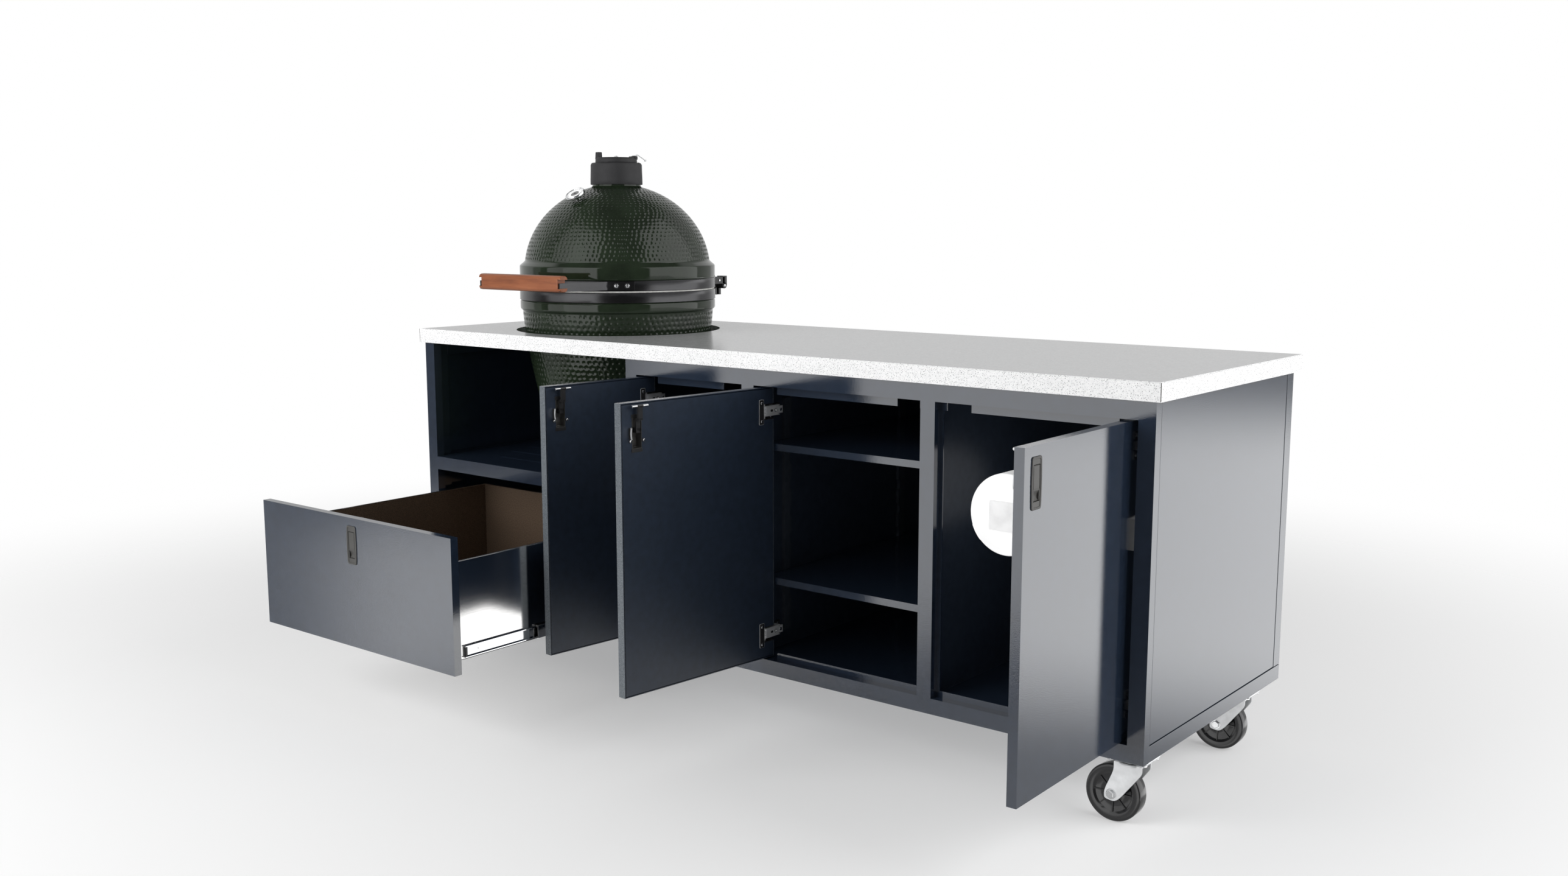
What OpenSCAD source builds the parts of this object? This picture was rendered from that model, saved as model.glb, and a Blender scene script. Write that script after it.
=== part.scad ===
// Outdoor grill cart: a stone worktop on a sheet metal cabinet with casters,
// with a ceramic kamado grill sunk into the left end of the worktop.
// Every piece is drawn where it stands with the doors and the big drawer open.
// X runs along the front, Y to the back, Z up, and the floor is z = 0.

/* [Worktop] */
// Length of the worktop
top_w = 2200; // [1800:10:2400]
// Depth of the worktop
top_d = 746; // [700:2:800]
// Thickness of the worktop
top_t = 38; // [20:1:50]
// Height of the worktop's upper face above the floor
top_h = 898; // [860:1:940]
// Width of the worn edge line along the worktop's rim
top_edge = 1.5; // [0.5:0.5:4]
// Overhang of the worktop past the cabinet's sides
side_overhang = 12; // [4:1:30]
// Overhang of the worktop past the cabinet's front
front_overhang = 9; // [2:1:30]
// Overhang of the worktop past the cabinet's back
back_overhang = 19; // [2:1:40]
// Clear gap between the grill's widest ring and the round cut-out
cutout_gap = 13; // [6:1:20]

/* [Cabinet] */
// Width of the stiles and posts of the face frame
stile_w = 36; // [28:1:50]
// Depth of the face frame from front to back
frame_d = 24; // [16:1:34]
// Height of the rail under the worktop
top_rail_h = 38; // [24:1:60]
// Height of the rail at the cabinet's foot
bottom_rail_h = 35; // [24:1:50]
// Clear width of the grill bay
bay1_w = 744; // [700:2:780]
// Clear width of the pull-out bay
bay2_w = 338; // [320:2:400]
// Clear width of the shelf bay
bay3_w = 457; // [380:2:500]
// Height of the grill shelf's upper face above the floor
shelf_z = 541; // [500:1:580]
// Height of the rail along the grill shelf's front
shelf_rail_h = 36; // [24:1:50]
// Thickness of the bent sheet that walls and shelves are made of
sheet_t = 2; // [1.5:0.5:3]
// Thickness of the hollow partitions between the bays
partition_t = 20; // [16:1:26]
// Thickness of the framed side panels
side_t = 20; // [14:1:30]
// Depth by which a side panel's skin sits back in its frame
side_recess = 5; // [2:1:10]
// Thickness of the stop frame behind the openings
stop_t = 3; // [2:0.5:5]
// Reach of the stop frame into an opening on its free side
stop_side = 7; // [4:1:12]
// Reach of the stop frame down from the top rail
stop_top = 20; // [10:1:24]
// Reach of the stop frame up from the bottom rail
stop_bottom = 13; // [6:1:20]

/* [Shelves] */
// Height of the upper shelf's face above the floor
upper_shelf_z = 686; // [640:2:720]
// Height of the lower shelf's face above the floor
lower_shelf_z = 369; // [320:2:420]
// Height of a shelf's folded front edge
shelf_lip = 16; // [10:1:25]
// Width of a shelf standard
standard_w = 26; // [20:1:34]
// Thickness of a shelf standard
standard_t = 8; // [6:1:12]
// Distance between the notches of a shelf standard
notch_pitch = 64; // [48:4:96]

/* [Doors] */
// Thickness of a door
door_t = 20; // [16:1:26]
// Gap around a door in its opening
door_gap = 3; // [2:0.5:5]
// Angle at which the doors of the pull-out and shelf bays stand open
door_open = 96; // [80:1:96]
// Angle at which the right door stands open
door4_open = 91; // [80:1:96]
// Distance from a door's hinge edge to its pivot
pivot_in = 21; // [18:0.5:24]
// Distance from a door's outer face to its pivot
pivot_back = 10; // [8:0.5:10]
// Height of the hinges' middles above and below the door's ends
hinge_inset = 56; // [40:1:120]
// Height of the plate that a hinge has on the door
hinge_plate_h = 58; // [44:1:70]

/* [Latches] */
// Width of a latch pan
pan_w = 37; // [30:1:44]
// Height of a latch pan
pan_h = 93; // [80:1:110]
// Distance from a door's top to its latch pan
pan_drop = 19; // [14:1:40]
// Distance from a door's free edge to its latch pan
pan_inset = 24; // [18:1:34]
// Height by which a latch pan's rim stands proud of the door
pan_proud = 2; // [1:0.5:3]

/* [Big drawer] */
// Distance that the big drawer stands open
big_open = 550; // [300:5:560]
// Gap around the big drawer's front in its opening
big_gap = 5; // [3:0.5:8]
// Height of the big drawer's box
big_box_h = 230; // [180:2:260]
// Depth of the big drawer's box from front to back
big_box_d = 686; // [600:2:690]
// Height of the drawer box's floor above the cabinet's floor
big_box_lift = 36; // [30:1:60]

/* [Inner drawers] */
// Width of the two inner drawers
inner_w = 236; // [220:2:240]
// Height of the two inner drawers
inner_h = 73; // [60:1:90]
// Depth of the two inner drawers
inner_d = 640; // [600:2:660]
// Height of the upper inner drawer's lower edge above the floor
upper_inner_z = 648; // [620:1:680]
// Height of the lower inner drawer's lower edge above the floor
lower_inner_z = 516; // [490:1:540]
// Distance of the inner drawers' fronts behind the cabinet's face
inner_back = 39; // [37:1:44]
// Height of a drawer slide
slide_h = 36; // [30:1:46]
// Thickness of a drawer slide from wall to drawer
slide_t = 12.7; // [12.7:0.1:14]
// Length of the bin's mouth from front to back
bin_l = 310; // [260:2:330]
// Height of the bin
bin_h = 377; // [340:1:380]

/* [Paper roll] */
// Radius of the paper roll
roll_r = 87; // [60:1:88]
// Length of the paper roll
roll_l = 280; // [240:2:300]
// Distance from the roll's middle to the bay's left edge
roll_from_left = 145; // [130:1:180]
// Height of the roll's middle above the floor
roll_z = 591; // [520:1:640]

/* [Casters] */
// Height of a caster from the floor to the cabinet
caster_h = 144; // [136:1:160]
// Radius of a caster's wheel
wheel_r = 60; // [54:1:62]
// Width of a caster's wheel
wheel_w = 32; // [24:1:38]
// Distance by which a wheel trails behind its swivel
trail = 34; // [24:1:40]
// Distance from the worktop's ends to the wheels
wheel_end = 92; // [80:1:200]
// Distance from the worktop's front to the front wheels
wheel_front = 60; // [54:1:120]
// Distance from the front wheels to the rear wheels
wheel_base = 528; // [400:4:600]

/* [Grill] */
// Distance of the grill's axis from the worktop's left end
egg_x = 430; // [400:1:440]
// Distance of the grill's axis from the worktop's front
egg_y = 350; // [345:1:380]
// Radius of the grill's widest ring
egg_r = 268; // [240:1:270]
// Radius of the grill's foot
foot_r = 178; // [150:1:185]
// Thickness of the ceramic
wall = 20; // [14:1:26]
// Height of the joint between base and lid above the worktop
joint_h = 113; // [100:1:125]
// Height of one steel band
band_h = 27; // [20:1:34]
// Thickness of one gasket
gasket_t = 2; // [1:0.5:4]
// Height of the smooth ring that each band is clamped beside
ring_h = 36; // [24:1:44]
// Rise of the dome above the middle of its curve
dome_rise = 235; // [210:1:250]
// Radius of the dome's neck
neck_r = 66; // [56:1:76]
// Outer radius of the cast cap
cap_r = 71; // [64:1:80]
// Height of the cast cap
cap_h = 59; // [48:1:70]
// Length of the wooden handle
handle_l = 350; // [300:2:360]
// Distance of the handle from the band
handle_out = 50; // [44:1:70]
// Height of the handle's middle above the middle of the upper band
handle_rise = 8; // [0:1:12]
// Height of the wooden handle
handle_h = 37; // [28:1:46]
// Thickness of the wooden handle
handle_t = 26; // [20:1:34]

/* [Hidden] */
$fn = 48;

// A small step past a face, so that a cut goes right through it
eps = 1;
// Running gap between pieces that slide on each other
run = 0.5;
// Segments of the grill's large round pieces
round_fn = 128;

// Colours
navy = [0.09, 0.13, 0.20];
stone = [0.93, 0.93, 0.92];
glaze = [0.13, 0.19, 0.12];
black = [0.06, 0.06, 0.065];
steel = [0.72, 0.72, 0.71];
bright = [0.85, 0.86, 0.87];
wood = [0.62, 0.29, 0.16];
felt = [0.90, 0.90, 0.88];
grey = [0.30, 0.29, 0.28];
paper = [0.97, 0.97, 0.96];
clay = [0.72, 0.66, 0.58];

// The cabinet's corners
cab_x0 = side_overhang;
cab_x1 = top_w - side_overhang;
cab_y0 = front_overhang;
cab_y1 = top_d - back_overhang;
cab_z0 = caster_h;
cab_z1 = top_h - top_t;
frame_y1 = cab_y0 + frame_d;
floor_z = cab_z0 + bottom_rail_h;
inner_y1 = cab_y1 - sheet_t;

// Left edges and widths of the four bays
bay4_w = cab_x1 - cab_x0 - 5 * stile_w - bay1_w - bay2_w - bay3_w;
bay1_x = cab_x0 + stile_w;
bay2_x = bay1_x + bay1_w + stile_w;
bay3_x = bay2_x + bay2_w + stile_w;
bay4_x = bay3_x + bay3_w + stile_w;
bay_top_z = cab_z1 - top_rail_h;
wall_in = (stile_w - partition_t) / 2;

// Doors: lower edge and height
door_z = floor_z + door_gap;
door_h = bay_top_z - floor_z - 2 * door_gap;
pivot_y = cab_y0 + pivot_back;
// How far back the hinge edge of a door reaches as it swings
door_tail_y = pivot_y + norm([pivot_in, max(pivot_back, door_t - pivot_back)]);
door_skin = 2;
liner_groove = 1.5;
hinge_z_low = door_z + hinge_inset;
hinge_z_high = door_z + door_h - hinge_inset;
hinge_pin_r = 2;
hinge_eye_r = 4.6;
arm_h = 24;
notch_h = 34;
cup_t = 1.5;
cup_floor = 2;
cup_x = 12;
cup_h = notch_h + 2 * cup_t;
arm_w = 8;
arm_back = 62;

// Latch: where its pivot and its roller pin are, measured from the door's face and top
latch_x = pan_inset + pan_w / 2;
paddle_w = pan_w - 14;
paddle_t = 3;
slot_w = 26;
slot_h = 68;
lever_w = 12;
lever_t = 4;
pin_r = 2.8;
pin_l = 44;
pin_drop = 7;
pin_back = 12;
keeper_w = pin_l + 14;

// Big drawer
big_front_y = cab_y0 - big_open;
big_front_x = bay1_x + big_gap;
big_front_w = bay1_w - 2 * big_gap;
big_front_z = floor_z + big_gap;
big_front_h = shelf_z - shelf_rail_h - floor_z - 2 * big_gap;
big_box_x = bay1_x + slide_t;
big_box_w = bay1_w - 2 * slide_t;
big_box_z = floor_z + big_box_lift;
big_box_y = big_front_y + door_t;
big_wall = 1.5;
slide_l = 640;
slide_y = frame_y1 + stop_t;
mid_share = 0.6;
big_mid_out = big_open * mid_share;

// Inner drawers and the bin
inner_x = bay2_x + (bay2_w - inner_w) / 2;
inner_y = cab_y0 + inner_back;
inner_slide_y = inner_y + 6;
inner_slide_l = 620;
spacer_t = inner_x - bay2_x + wall_in - slide_t;
bin_clear = 4;
bin_wall = 2.5;
bin_w = inner_w - 2 * big_wall - 2 * bin_clear;
bin_y = inner_y + inner_d - big_wall - bin_clear - bin_l;
bin_top_z = lower_inner_z + inner_h + 8;
bin_r = 30;

// Paper roll and its holder
roll_x = bay4_x + roll_from_left;
roll_y = cab_y0 + 54;
core_r = 21;
spindle_r = 14;
holder_h = 62;
holder_t = 3;
holder_y = door_tail_y + 2;

// Grill heights
joint_z = top_h + joint_h;
lower_band_z = joint_z - gasket_t - band_h;
upper_band_z = joint_z + gasket_t;
lower_ring_z = lower_band_z - ring_h + 10;
upper_ring_z = upper_band_z + band_h;
ring_top_z = upper_ring_z + ring_h;
body_r = egg_r - 6;
dome_r = egg_r - 13;
dome_mid_z = ring_top_z - 17;
neck_z = dome_mid_z + dome_rise * sqrt(1 - pow(neck_r / dome_r, 2));
cap_z = neck_z + 6;
cap_top_z = cap_z + cap_h;
ceramic_r = egg_r - 3;
band_t = 3;
lip_r = ceramic_r - wall - 4;
hinge_axis_y = egg_y + egg_r + 24;
draft_w = 110;
draft_h = 74;
draft_z = shelf_z + 54;
handle_y = egg_y - egg_r - handle_out - handle_t / 2;
handle_z = upper_band_z + band_h / 2;

// Middle of the part between the big drawer's latch and the worktop's back edge
mid_y = (top_d + big_front_y - pan_proud) / 2;

module place() {
    translate([-top_w / 2, -mid_y, 0]) children();
}

module box(x, y, z, w, d, h) {
    translate([x, y, z]) cube([w, d, h]);
}

// A plate in the XZ plane, drawn in x and z, from y = y0 back by t
module upright(y0, t) {
    translate([0, y0 + t, 0]) rotate([90, 0, 0]) linear_extrude(t) children();
}

// A rectangle with rounded corners, about its middle
module round_plate(w, d, r) {
    offset(r) square([w - 2 * r, d - 2 * r], center = true);
}

// Cabinet

module worktop() {
    place() color(stone) difference() {
        union() {
            box(0, 0, cab_z1, top_w, top_d, top_t - top_edge);
            box(top_edge, top_edge, top_h - top_edge, top_w - 2 * top_edge, top_d - 2 * top_edge,
                top_edge);
        }
        translate([egg_x, egg_y, cab_z1 - eps])
            cylinder(r = egg_r + cutout_gap, h = top_t + 2 * eps, $fn = round_fn);
    }
}

module side_panel(x, outward) {
    d = cab_y1 - frame_y1;
    h = cab_z1 - cab_z0;
    skin_x = outward > 0 ? x + side_t - side_recess - sheet_t : x + side_recess;
    difference() {
        box(x, frame_y1, cab_z0, side_t, d, h);
        box(x - eps, frame_y1 + stile_w, cab_z0 + bottom_rail_h, side_t + 2 * eps,
            d - 2 * stile_w, h - bottom_rail_h - top_rail_h);
    }
    box(skin_x, frame_y1 + stile_w, cab_z0 + bottom_rail_h, sheet_t,
        d - 2 * stile_w, h - bottom_rail_h - top_rail_h);
}

module side_panels() {
    place() color(navy) {
        side_panel(cab_x0, -1);
        side_panel(cab_x1 - side_t, 1);
    }
}

module back_panel() {
    place() color(navy)
        box(cab_x0 + side_t, inner_y1, floor_z, cab_x1 - cab_x0 - 2 * side_t, sheet_t, cab_z1 - floor_z);
}

// The floor is a tray turned upside down, with two channels that carry the casters
module base_pan() {
    w = cab_x1 - cab_x0 - 2 * side_t;
    d = cab_y1 - frame_y1;
    channel_w = 170;
    place() color(navy) difference() {
        box(cab_x0 + side_t, frame_y1, cab_z0, w, d, bottom_rail_h);
        box(cab_x0 + side_t + channel_w, frame_y1 + sheet_t, cab_z0 - eps, w - 2 * channel_w,
            d - 2 * sheet_t, bottom_rail_h - sheet_t + eps);
    }
}

module opening(x, w) {
    translate([x, floor_z]) square([w, bay_top_z - floor_z]);
}

module face_frame() {
    place() color(navy) upright(cab_y0, frame_d) difference() {
        translate([cab_x0, cab_z0]) square([cab_x1 - cab_x0, cab_z1 - cab_z0]);
        translate([bay1_x, floor_z]) square([bay1_w, shelf_z - shelf_rail_h - floor_z]);
        translate([bay1_x, shelf_z]) square([bay1_w, cab_z1 - shelf_z + eps]);
        opening(bay2_x, bay2_w);
        opening(bay3_x, bay3_w);
        opening(bay4_x, bay4_w);
    }
}

// One ring of the stop frame. Near the hinges it has no lip, so that the door can swing.
hinge_relief = door_gap + pivot_in + norm([pivot_in, door_t - pivot_back]) + 3;
module stop_ring(x, w, hinge_left) {
    left = hinge_left ? 0 : stop_side;
    right = hinge_left ? stop_side : 0;
    relief_x = hinge_left ? x : x + w - hinge_relief;
    lap = wall_in + sheet_t;
    latch_mid = hinge_left ? x + w - door_gap - latch_x : x + door_gap + latch_x;
    difference() {
        translate([x - lap, floor_z]) square([w + 2 * lap, bay_top_z - floor_z]);
        translate([x + left, floor_z + stop_bottom])
            square([w - left - right, bay_top_z - floor_z - stop_bottom - stop_top]);
        translate([relief_x, floor_z - eps]) square([hinge_relief, bay_top_z - floor_z + 2 * eps]);
        translate([latch_mid - keeper_w / 2, bay_top_z - stop_top - eps])
            square([keeper_w, stop_top + eps]);
    }
}

module stop_frame() {
    place() color(navy) upright(frame_y1, stop_t) {
        stop_ring(bay2_x, bay2_w, true);
        stop_ring(bay3_x, bay3_w, true);
        stop_ring(bay4_x, bay4_w, false);
    }
}

// Two skins close each partition, a liner closes the last bay, and spacers carry the slides
module partitions() {
    y0 = frame_y1 + stop_t;
    d = inner_y1 - y0;
    h = cab_z1 - floor_z;
    place() color(navy) {
        for (x = [bay2_x, bay3_x, bay4_x]) {
            front = x == bay2_x ? frame_y1 : y0;
            box(x - stile_w + wall_in, front, floor_z, sheet_t, inner_y1 - front, h);
            box(x - wall_in - sheet_t, y0, floor_z, sheet_t, d, h);
        }
        box(bay4_x + bay4_w + wall_in, y0, floor_z, sheet_t, d, h);
        box(cab_x0 + side_t, frame_y1, big_slide_z, bay1_x - cab_x0 - side_t, inner_y1 - frame_y1,
            slide_h);
        box(bay1_x + bay1_w, frame_y1, big_slide_z, wall_in, inner_y1 - frame_y1, slide_h);
        for (z = [upper_inner_z, lower_inner_z]) {
            sz = slide_low(z);
            box(bay2_x - wall_in, inner_slide_y, sz, spacer_t, inner_slide_l, slide_h);
            box(bay2_x + bay2_w + wall_in - spacer_t, inner_slide_y, sz, spacer_t, inner_slide_l,
                slide_h);
        }
    }
}

function slide_low(z) = z + (inner_h - slide_h) / 2;

// The shelf under the grill, slotted for air on both sides of the grill's foot
slot_pitch = 88;
slot_t = 4;
slot_field_r = 328;
slot_mid_y = egg_y - 13;
slot_keep = foot_r + 14;
module grill_shelf() {
    place() color(navy) difference() {
        box(bay1_x - wall_in, frame_y1, shelf_z - sheet_t, bay1_w + 2 * wall_in,
            inner_y1 - frame_y1, sheet_t);
        for (k = [-2.5:2.5]) {
            y = slot_mid_y + k * slot_pitch;
            reach = sqrt(pow(slot_field_r, 2) - pow(k * slot_pitch, 2));
            off = abs(y - egg_y);
            keep = off < slot_keep ? sqrt(pow(slot_keep, 2) - pow(off, 2)) : 7;
            for (s = [-1, 1])
                translate([egg_x + s * (reach + keep) / 2, y, shelf_z - sheet_t / 2])
                    cube([reach - keep, slot_t, sheet_t + 2 * eps], center = true);
        }
    }
}

module shelf(z) {
    w = bay3_w + 2 * wall_in - 2 * standard_t - 2;
    x = bay3_x - wall_in + standard_t + 1;
    y = door_tail_y + 2;
    d = inner_y1 - y - 6;
    difference() {
        box(x, y, z - shelf_lip, w, d, shelf_lip);
        box(x + sheet_t, y + sheet_t, z - shelf_lip - eps, w - 2 * sheet_t, d - 2 * sheet_t,
            shelf_lip - sheet_t + eps);
    }
}

module shelves() {
    place() color(navy) {
        shelf(upper_shelf_z);
        shelf(lower_shelf_z);
    }
}

// An upright strip with scalloped notches, and the clips that hang in it
standard_z = floor_z + 40;
standard_h = bay_top_z - floor_z - 80;
notch_r = 5;
module shelf_standard(side, y, facing) {
    x = side < 0 ? bay3_x - wall_in : bay3_x + bay3_w + wall_in - standard_t;
    edge_y = facing > 0 ? y : y + standard_w;
    difference() {
        box(x, y, standard_z, standard_t, standard_w, standard_h);
        for (z = [standard_z + notch_pitch / 2:notch_pitch:standard_z + standard_h - notch_pitch / 3])
            translate([x - eps, edge_y, z]) rotate([0, 90, 0]) scale([3, 1, 1])
                cylinder(r = notch_r, h = standard_t + 2 * eps);
    }
    for (z = [upper_shelf_z, lower_shelf_z])
        box(side < 0 ? x + standard_t : x - 8, y + standard_w / 2 - 6, z - shelf_lip - 6, 8, 12, 6);
}

standard_front = 90;
standard_back = 120;
module shelf_standards() {
    place() color(navy) for (side = [-1, 1]) {
        shelf_standard(side, frame_y1 + standard_front, -1);
        shelf_standard(side, inner_y1 - standard_back, 1);
    }
}

// Hinges: each door has two. s is 1 for a door hinged at the left and -1 at the right.

function pivot_x(x, w, s) = s > 0 ? x + door_gap + pivot_in : x + w - door_gap - pivot_in;
module for_hinges() {
    for (h = [[bay2_x, bay2_w, 1], [bay3_x, bay3_w, 1], [bay4_x, bay4_w, -1]])
        for (z = [hinge_z_low, hinge_z_high])
            translate([pivot_x(h[0], h[1], h[2]), pivot_y, z]) scale([h[2], 1, 1]) children();
}

wall_from_pivot = door_gap + pivot_in + wall_in;
mount_y = arm_back - 6;

// The cross-shaped plate on the bay's wall
wall_plate_t = 3;
wall_plate_l = 52;
wall_plate_w = 18;
wing_w = 16;
wing_h = 56;
module hinge_plates() {
    place() color(black) for_hinges() {
        translate([-wall_from_pivot, mount_y - wing_w, -wall_plate_w / 2])
            cube([wall_plate_t, wall_plate_l, wall_plate_w]);
        translate([-wall_from_pivot, mount_y - wing_w / 4, -wing_h / 2])
            cube([wall_plate_t, wing_w, wing_h]);
    }
}

// The arm from the wall plate to an eye round the hinge pin
module hinge_arms() {
    place() color(bright) for_hinges() difference() {
        union() {
            cylinder(r = hinge_eye_r, h = arm_h, center = true, $fn = 32);
            translate([-3, 0, -arm_h / 2]) cube([arm_w, arm_back, arm_h]);
            translate([3 - wall_from_pivot, arm_back - 14, -8]) cube([wall_from_pivot - 6, 14, 16]);
        }
        cylinder(r = hinge_pin_r + 0.05, h = arm_h + 2 * eps, center = true, $fn = 32);
    }
}

// Doors, drawn shut with the hinge edge at the left, the pivot at the origin
// and the outer face at y = -pivot_back, then turned open and mirrored as needed

module hang(x, w, s, angle) {
    translate([pivot_x(x, w, s), pivot_y, 0]) scale([s, 1, 1]) rotate([0, 0, -angle]) children();
}

// The pocket at the hinge edge that takes a hinge cup, in which the hinge's arm swings
module hinge_pockets() {
    for (z = [hinge_z_low, hinge_z_high])
        translate([-pivot_in - eps, door_skin - pivot_back, z - cup_h / 2])
            cube([pivot_in + eps + cup_x + cup_t, door_t, cup_h]);
}

module latch_slot(w) {
    translate([w - pivot_in - latch_x - slot_w / 2, -pivot_back - eps,
        door_z + door_h - pan_drop - pan_h / 2 - slot_h / 2])
        cube([slot_w, door_t + 2 * eps, slot_h]);
}

module door_panel(w) {
    difference() {
        translate([-pivot_in, -pivot_back, door_z]) cube([w, door_t, door_h]);
        translate([door_skin - pivot_in, door_skin - pivot_back, door_z + door_skin])
            cube([w - 2 * door_skin, door_t, door_h - 2 * door_skin]);
        hinge_pockets();
        latch_slot(w);
    }
    inset = door_skin + liner_groove;
    difference() {
        translate([inset - pivot_in, door_skin - pivot_back, door_z + inset])
            cube([w - 2 * inset, door_t - door_skin, door_h - 2 * inset]);
        translate([inset + liner_groove - pivot_in, door_skin - pivot_back - eps,
            door_z + inset + liner_groove])
            cube([w - 2 * inset - 2 * liner_groove, door_t - door_skin - liner_groove + eps,
                door_h - 2 * inset - 2 * liner_groove]);
        hinge_pockets();
        latch_slot(w);
    }
}

// A cup in the door, the pin through it, the plate beside it, and two screws
module door_hinges() {
    for (z = [hinge_z_low, hinge_z_high]) {
        translate([0, 0, z]) {
            cylinder(r = hinge_pin_r, h = notch_h + 2, center = true, $fn = 32);
            difference() {
                translate([-pivot_in, door_skin - pivot_back, -cup_h / 2])
                    cube([pivot_in + cup_x + cup_t, door_t - door_skin, cup_h]);
                translate([-pivot_in - eps, door_skin + cup_floor - pivot_back, -notch_h / 2])
                    cube([pivot_in + eps + cup_x, door_t, notch_h]);
            }
            translate([cup_x, door_t - pivot_back, -hinge_plate_h / 2]) cube([15, 2, hinge_plate_h]);
            for (sz = [-1, 1])
                translate([cup_x + 7.5, door_t - pivot_back + 2, sz * (hinge_plate_h / 2 - 8)])
                    rotate([-90, 0, 0]) cylinder(r = 3.5, h = 1.2, $fn = 24);
        }
    }
}

// Latch: a pan let into the face, a bracket on the inside, and a paddle that tips.
// The frame of a latch has its origin on the outer face, over the pan's middle.

module latch_at(w) {
    translate([w - pivot_in - latch_x, -pivot_back, door_z + door_h - pan_drop - pan_h / 2]) children();
}

module pan_outline(w, h, r) {
    hull() for (x = [-1, 1]) for (z = [-1, 1])
        translate([x * (w / 2 - r), z * (h / 2 - r)]) circle(r, $fn = 32);
}

// A foot beside the slot, and on its far edge the wing that springs against the frame
wing_foot = 8;
wing_t = 3;
module latch_body() {
    difference() {
        union() {
            rotate([90, 0, 0]) linear_extrude(pan_proud) pan_outline(pan_w, pan_h, 5);
            translate([-slot_w / 2, 0, -slot_h / 2]) cube([slot_w, door_t + 1, slot_h]);
        }
        translate([-paddle_w / 2 - 0.6, -pan_proud - eps, -slot_h / 2 + 2])
            cube([paddle_w + 1.2, door_t + 2 * eps + 2 + pan_proud, slot_h - 4]);
    }
    translate([0, paddle_pivot_y, paddle_pivot_z]) rotate([0, 90, 0])
        cylinder(r = 2, h = paddle_w + 1.2, center = true, $fn = 24);
    for (s = [-1, 1])
        translate([s * (slot_w / 2 + 5), door_t, -16]) rotate([-90, 0, 0])
            cylinder(r = 3.2, h = 4, $fn = 24);
    translate([slot_w / 2 + wing_foot, door_t, -11]) cube([wing_t, 13, 24]);
    translate([slot_w / 2, door_t, -11]) cube([wing_foot, 1, 24]);
}

// The paddle in front, a hub on the pivot and a lever up to the roller pin behind
paddle_pivot_y = 5;
paddle_pivot_z = 6;
module latch_paddle() {
    top_z = pan_h / 2 + pan_drop - pin_drop;
    lever_y = door_t + 2;
    difference() {
        union() {
            translate([-paddle_w / 2, -1, 2 - slot_h / 2 + 1]) cube([paddle_w, paddle_t, slot_h - 6]);
            translate([-lever_w / 2, 0, paddle_pivot_z - 5]) cube([lever_w, lever_y + lever_t, 10]);
            translate([-lever_w / 2, lever_y, paddle_pivot_z - 5]) cube([lever_w, lever_t, 31]);
            translate([-lever_w / 2, lever_y, paddle_pivot_z + 22]) cube([lever_w, pin_back, 4]);
            translate([-lever_w / 2, lever_y + pin_back - lever_t, paddle_pivot_z + 22])
                cube([lever_w, lever_t, top_z - paddle_pivot_z - 22]);
        }
        translate([0, paddle_pivot_y, paddle_pivot_z]) rotate([0, 90, 0])
            cylinder(r = 2.1, h = paddle_w + 4, center = true, $fn = 24);
        translate([0, -10, 4 - slot_h / 2]) rotate([0, 90, 0])
            cylinder(r = 13, h = paddle_w - 8, center = true, $fn = 48);
    }
    translate([0, lever_y + pin_back - lever_t / 2, top_z]) rotate([0, 90, 0])
        cylinder(r = pin_r, h = pin_l, center = true, $fn = 32);
}

module door_part(n) {
    if (n == 2) hang(bay2_x, bay2_w, 1, door_open) children();
    if (n == 3) hang(bay3_x, bay3_w, 1, door_open) children();
    if (n == 4) hang(bay4_x, bay4_w, -1, door4_open) children();
}

function door_w(n) = (n == 2 ? bay2_w : n == 3 ? bay3_w : bay4_w) - 2 * door_gap;

module door_n_panel(n) {
    place() color(navy) door_part(n) door_panel(door_w(n));
}

module door_n_hinges(n) {
    place() color(bright) door_part(n) door_hinges();
}

module door_n_latch(n) {
    place() color(black) door_part(n) latch_at(door_w(n)) latch_body();
}

module door_n_paddle(n) {
    place() color(black) door_part(n) latch_at(door_w(n)) latch_paddle();
}

// Drawers

big_latch_z = big_front_z + big_front_h - pan_drop - pan_h / 2;

module big_latch_at() {
    translate([big_front_x + big_front_w / 2, big_front_y, big_latch_z]) children();
}

module big_latch_slot() {
    big_latch_at() translate([-slot_w / 2, -eps, -slot_h / 2]) cube([slot_w, door_t + 2 * eps, slot_h]);
}

module big_drawer_front() {
    inset = door_skin + liner_groove;
    place() color(navy) {
        difference() {
            box(big_front_x, big_front_y, big_front_z, big_front_w, door_t, big_front_h);
            box(big_front_x + door_skin, big_front_y + door_skin, big_front_z + door_skin,
                big_front_w - 2 * door_skin, door_t, big_front_h - 2 * door_skin);
            big_latch_slot();
        }
        difference() {
            box(big_front_x + inset, big_front_y + door_skin, big_front_z + inset,
                big_front_w - 2 * inset, door_t - door_skin, big_front_h - 2 * inset);
            box(big_front_x + inset + liner_groove, big_front_y + door_skin - eps,
                big_front_z + inset + liner_groove,
                big_front_w - 2 * inset - 2 * liner_groove, door_t - door_skin - liner_groove + eps,
                big_front_h - 2 * inset - 2 * liner_groove);
            big_latch_slot();
        }
    }
}

// A slide is three channels, one in another. Each is drawn with its back at x = 0,
// towards +X for a wall at the left.
channel_t = 1.8;

module channel(depth, h, l) {
    cube([channel_t, l, h]);
    cube([depth, l, channel_t]);
    translate([0, 0, h - channel_t]) cube([depth, l, channel_t]);
}

mid_h = slide_h - 2 * channel_t - 2 * run;
member_h = mid_h - 2 * channel_t - 2 * run;
rail_depth = slide_t - 3.5;
mid_depth = rail_depth - 1;

module rail_member(l) {
    channel(rail_depth, slide_h, l);
}

module mid_member(l) {
    translate([channel_t + run, 0, channel_t + run]) channel(mid_depth, mid_h, l);
}

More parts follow.
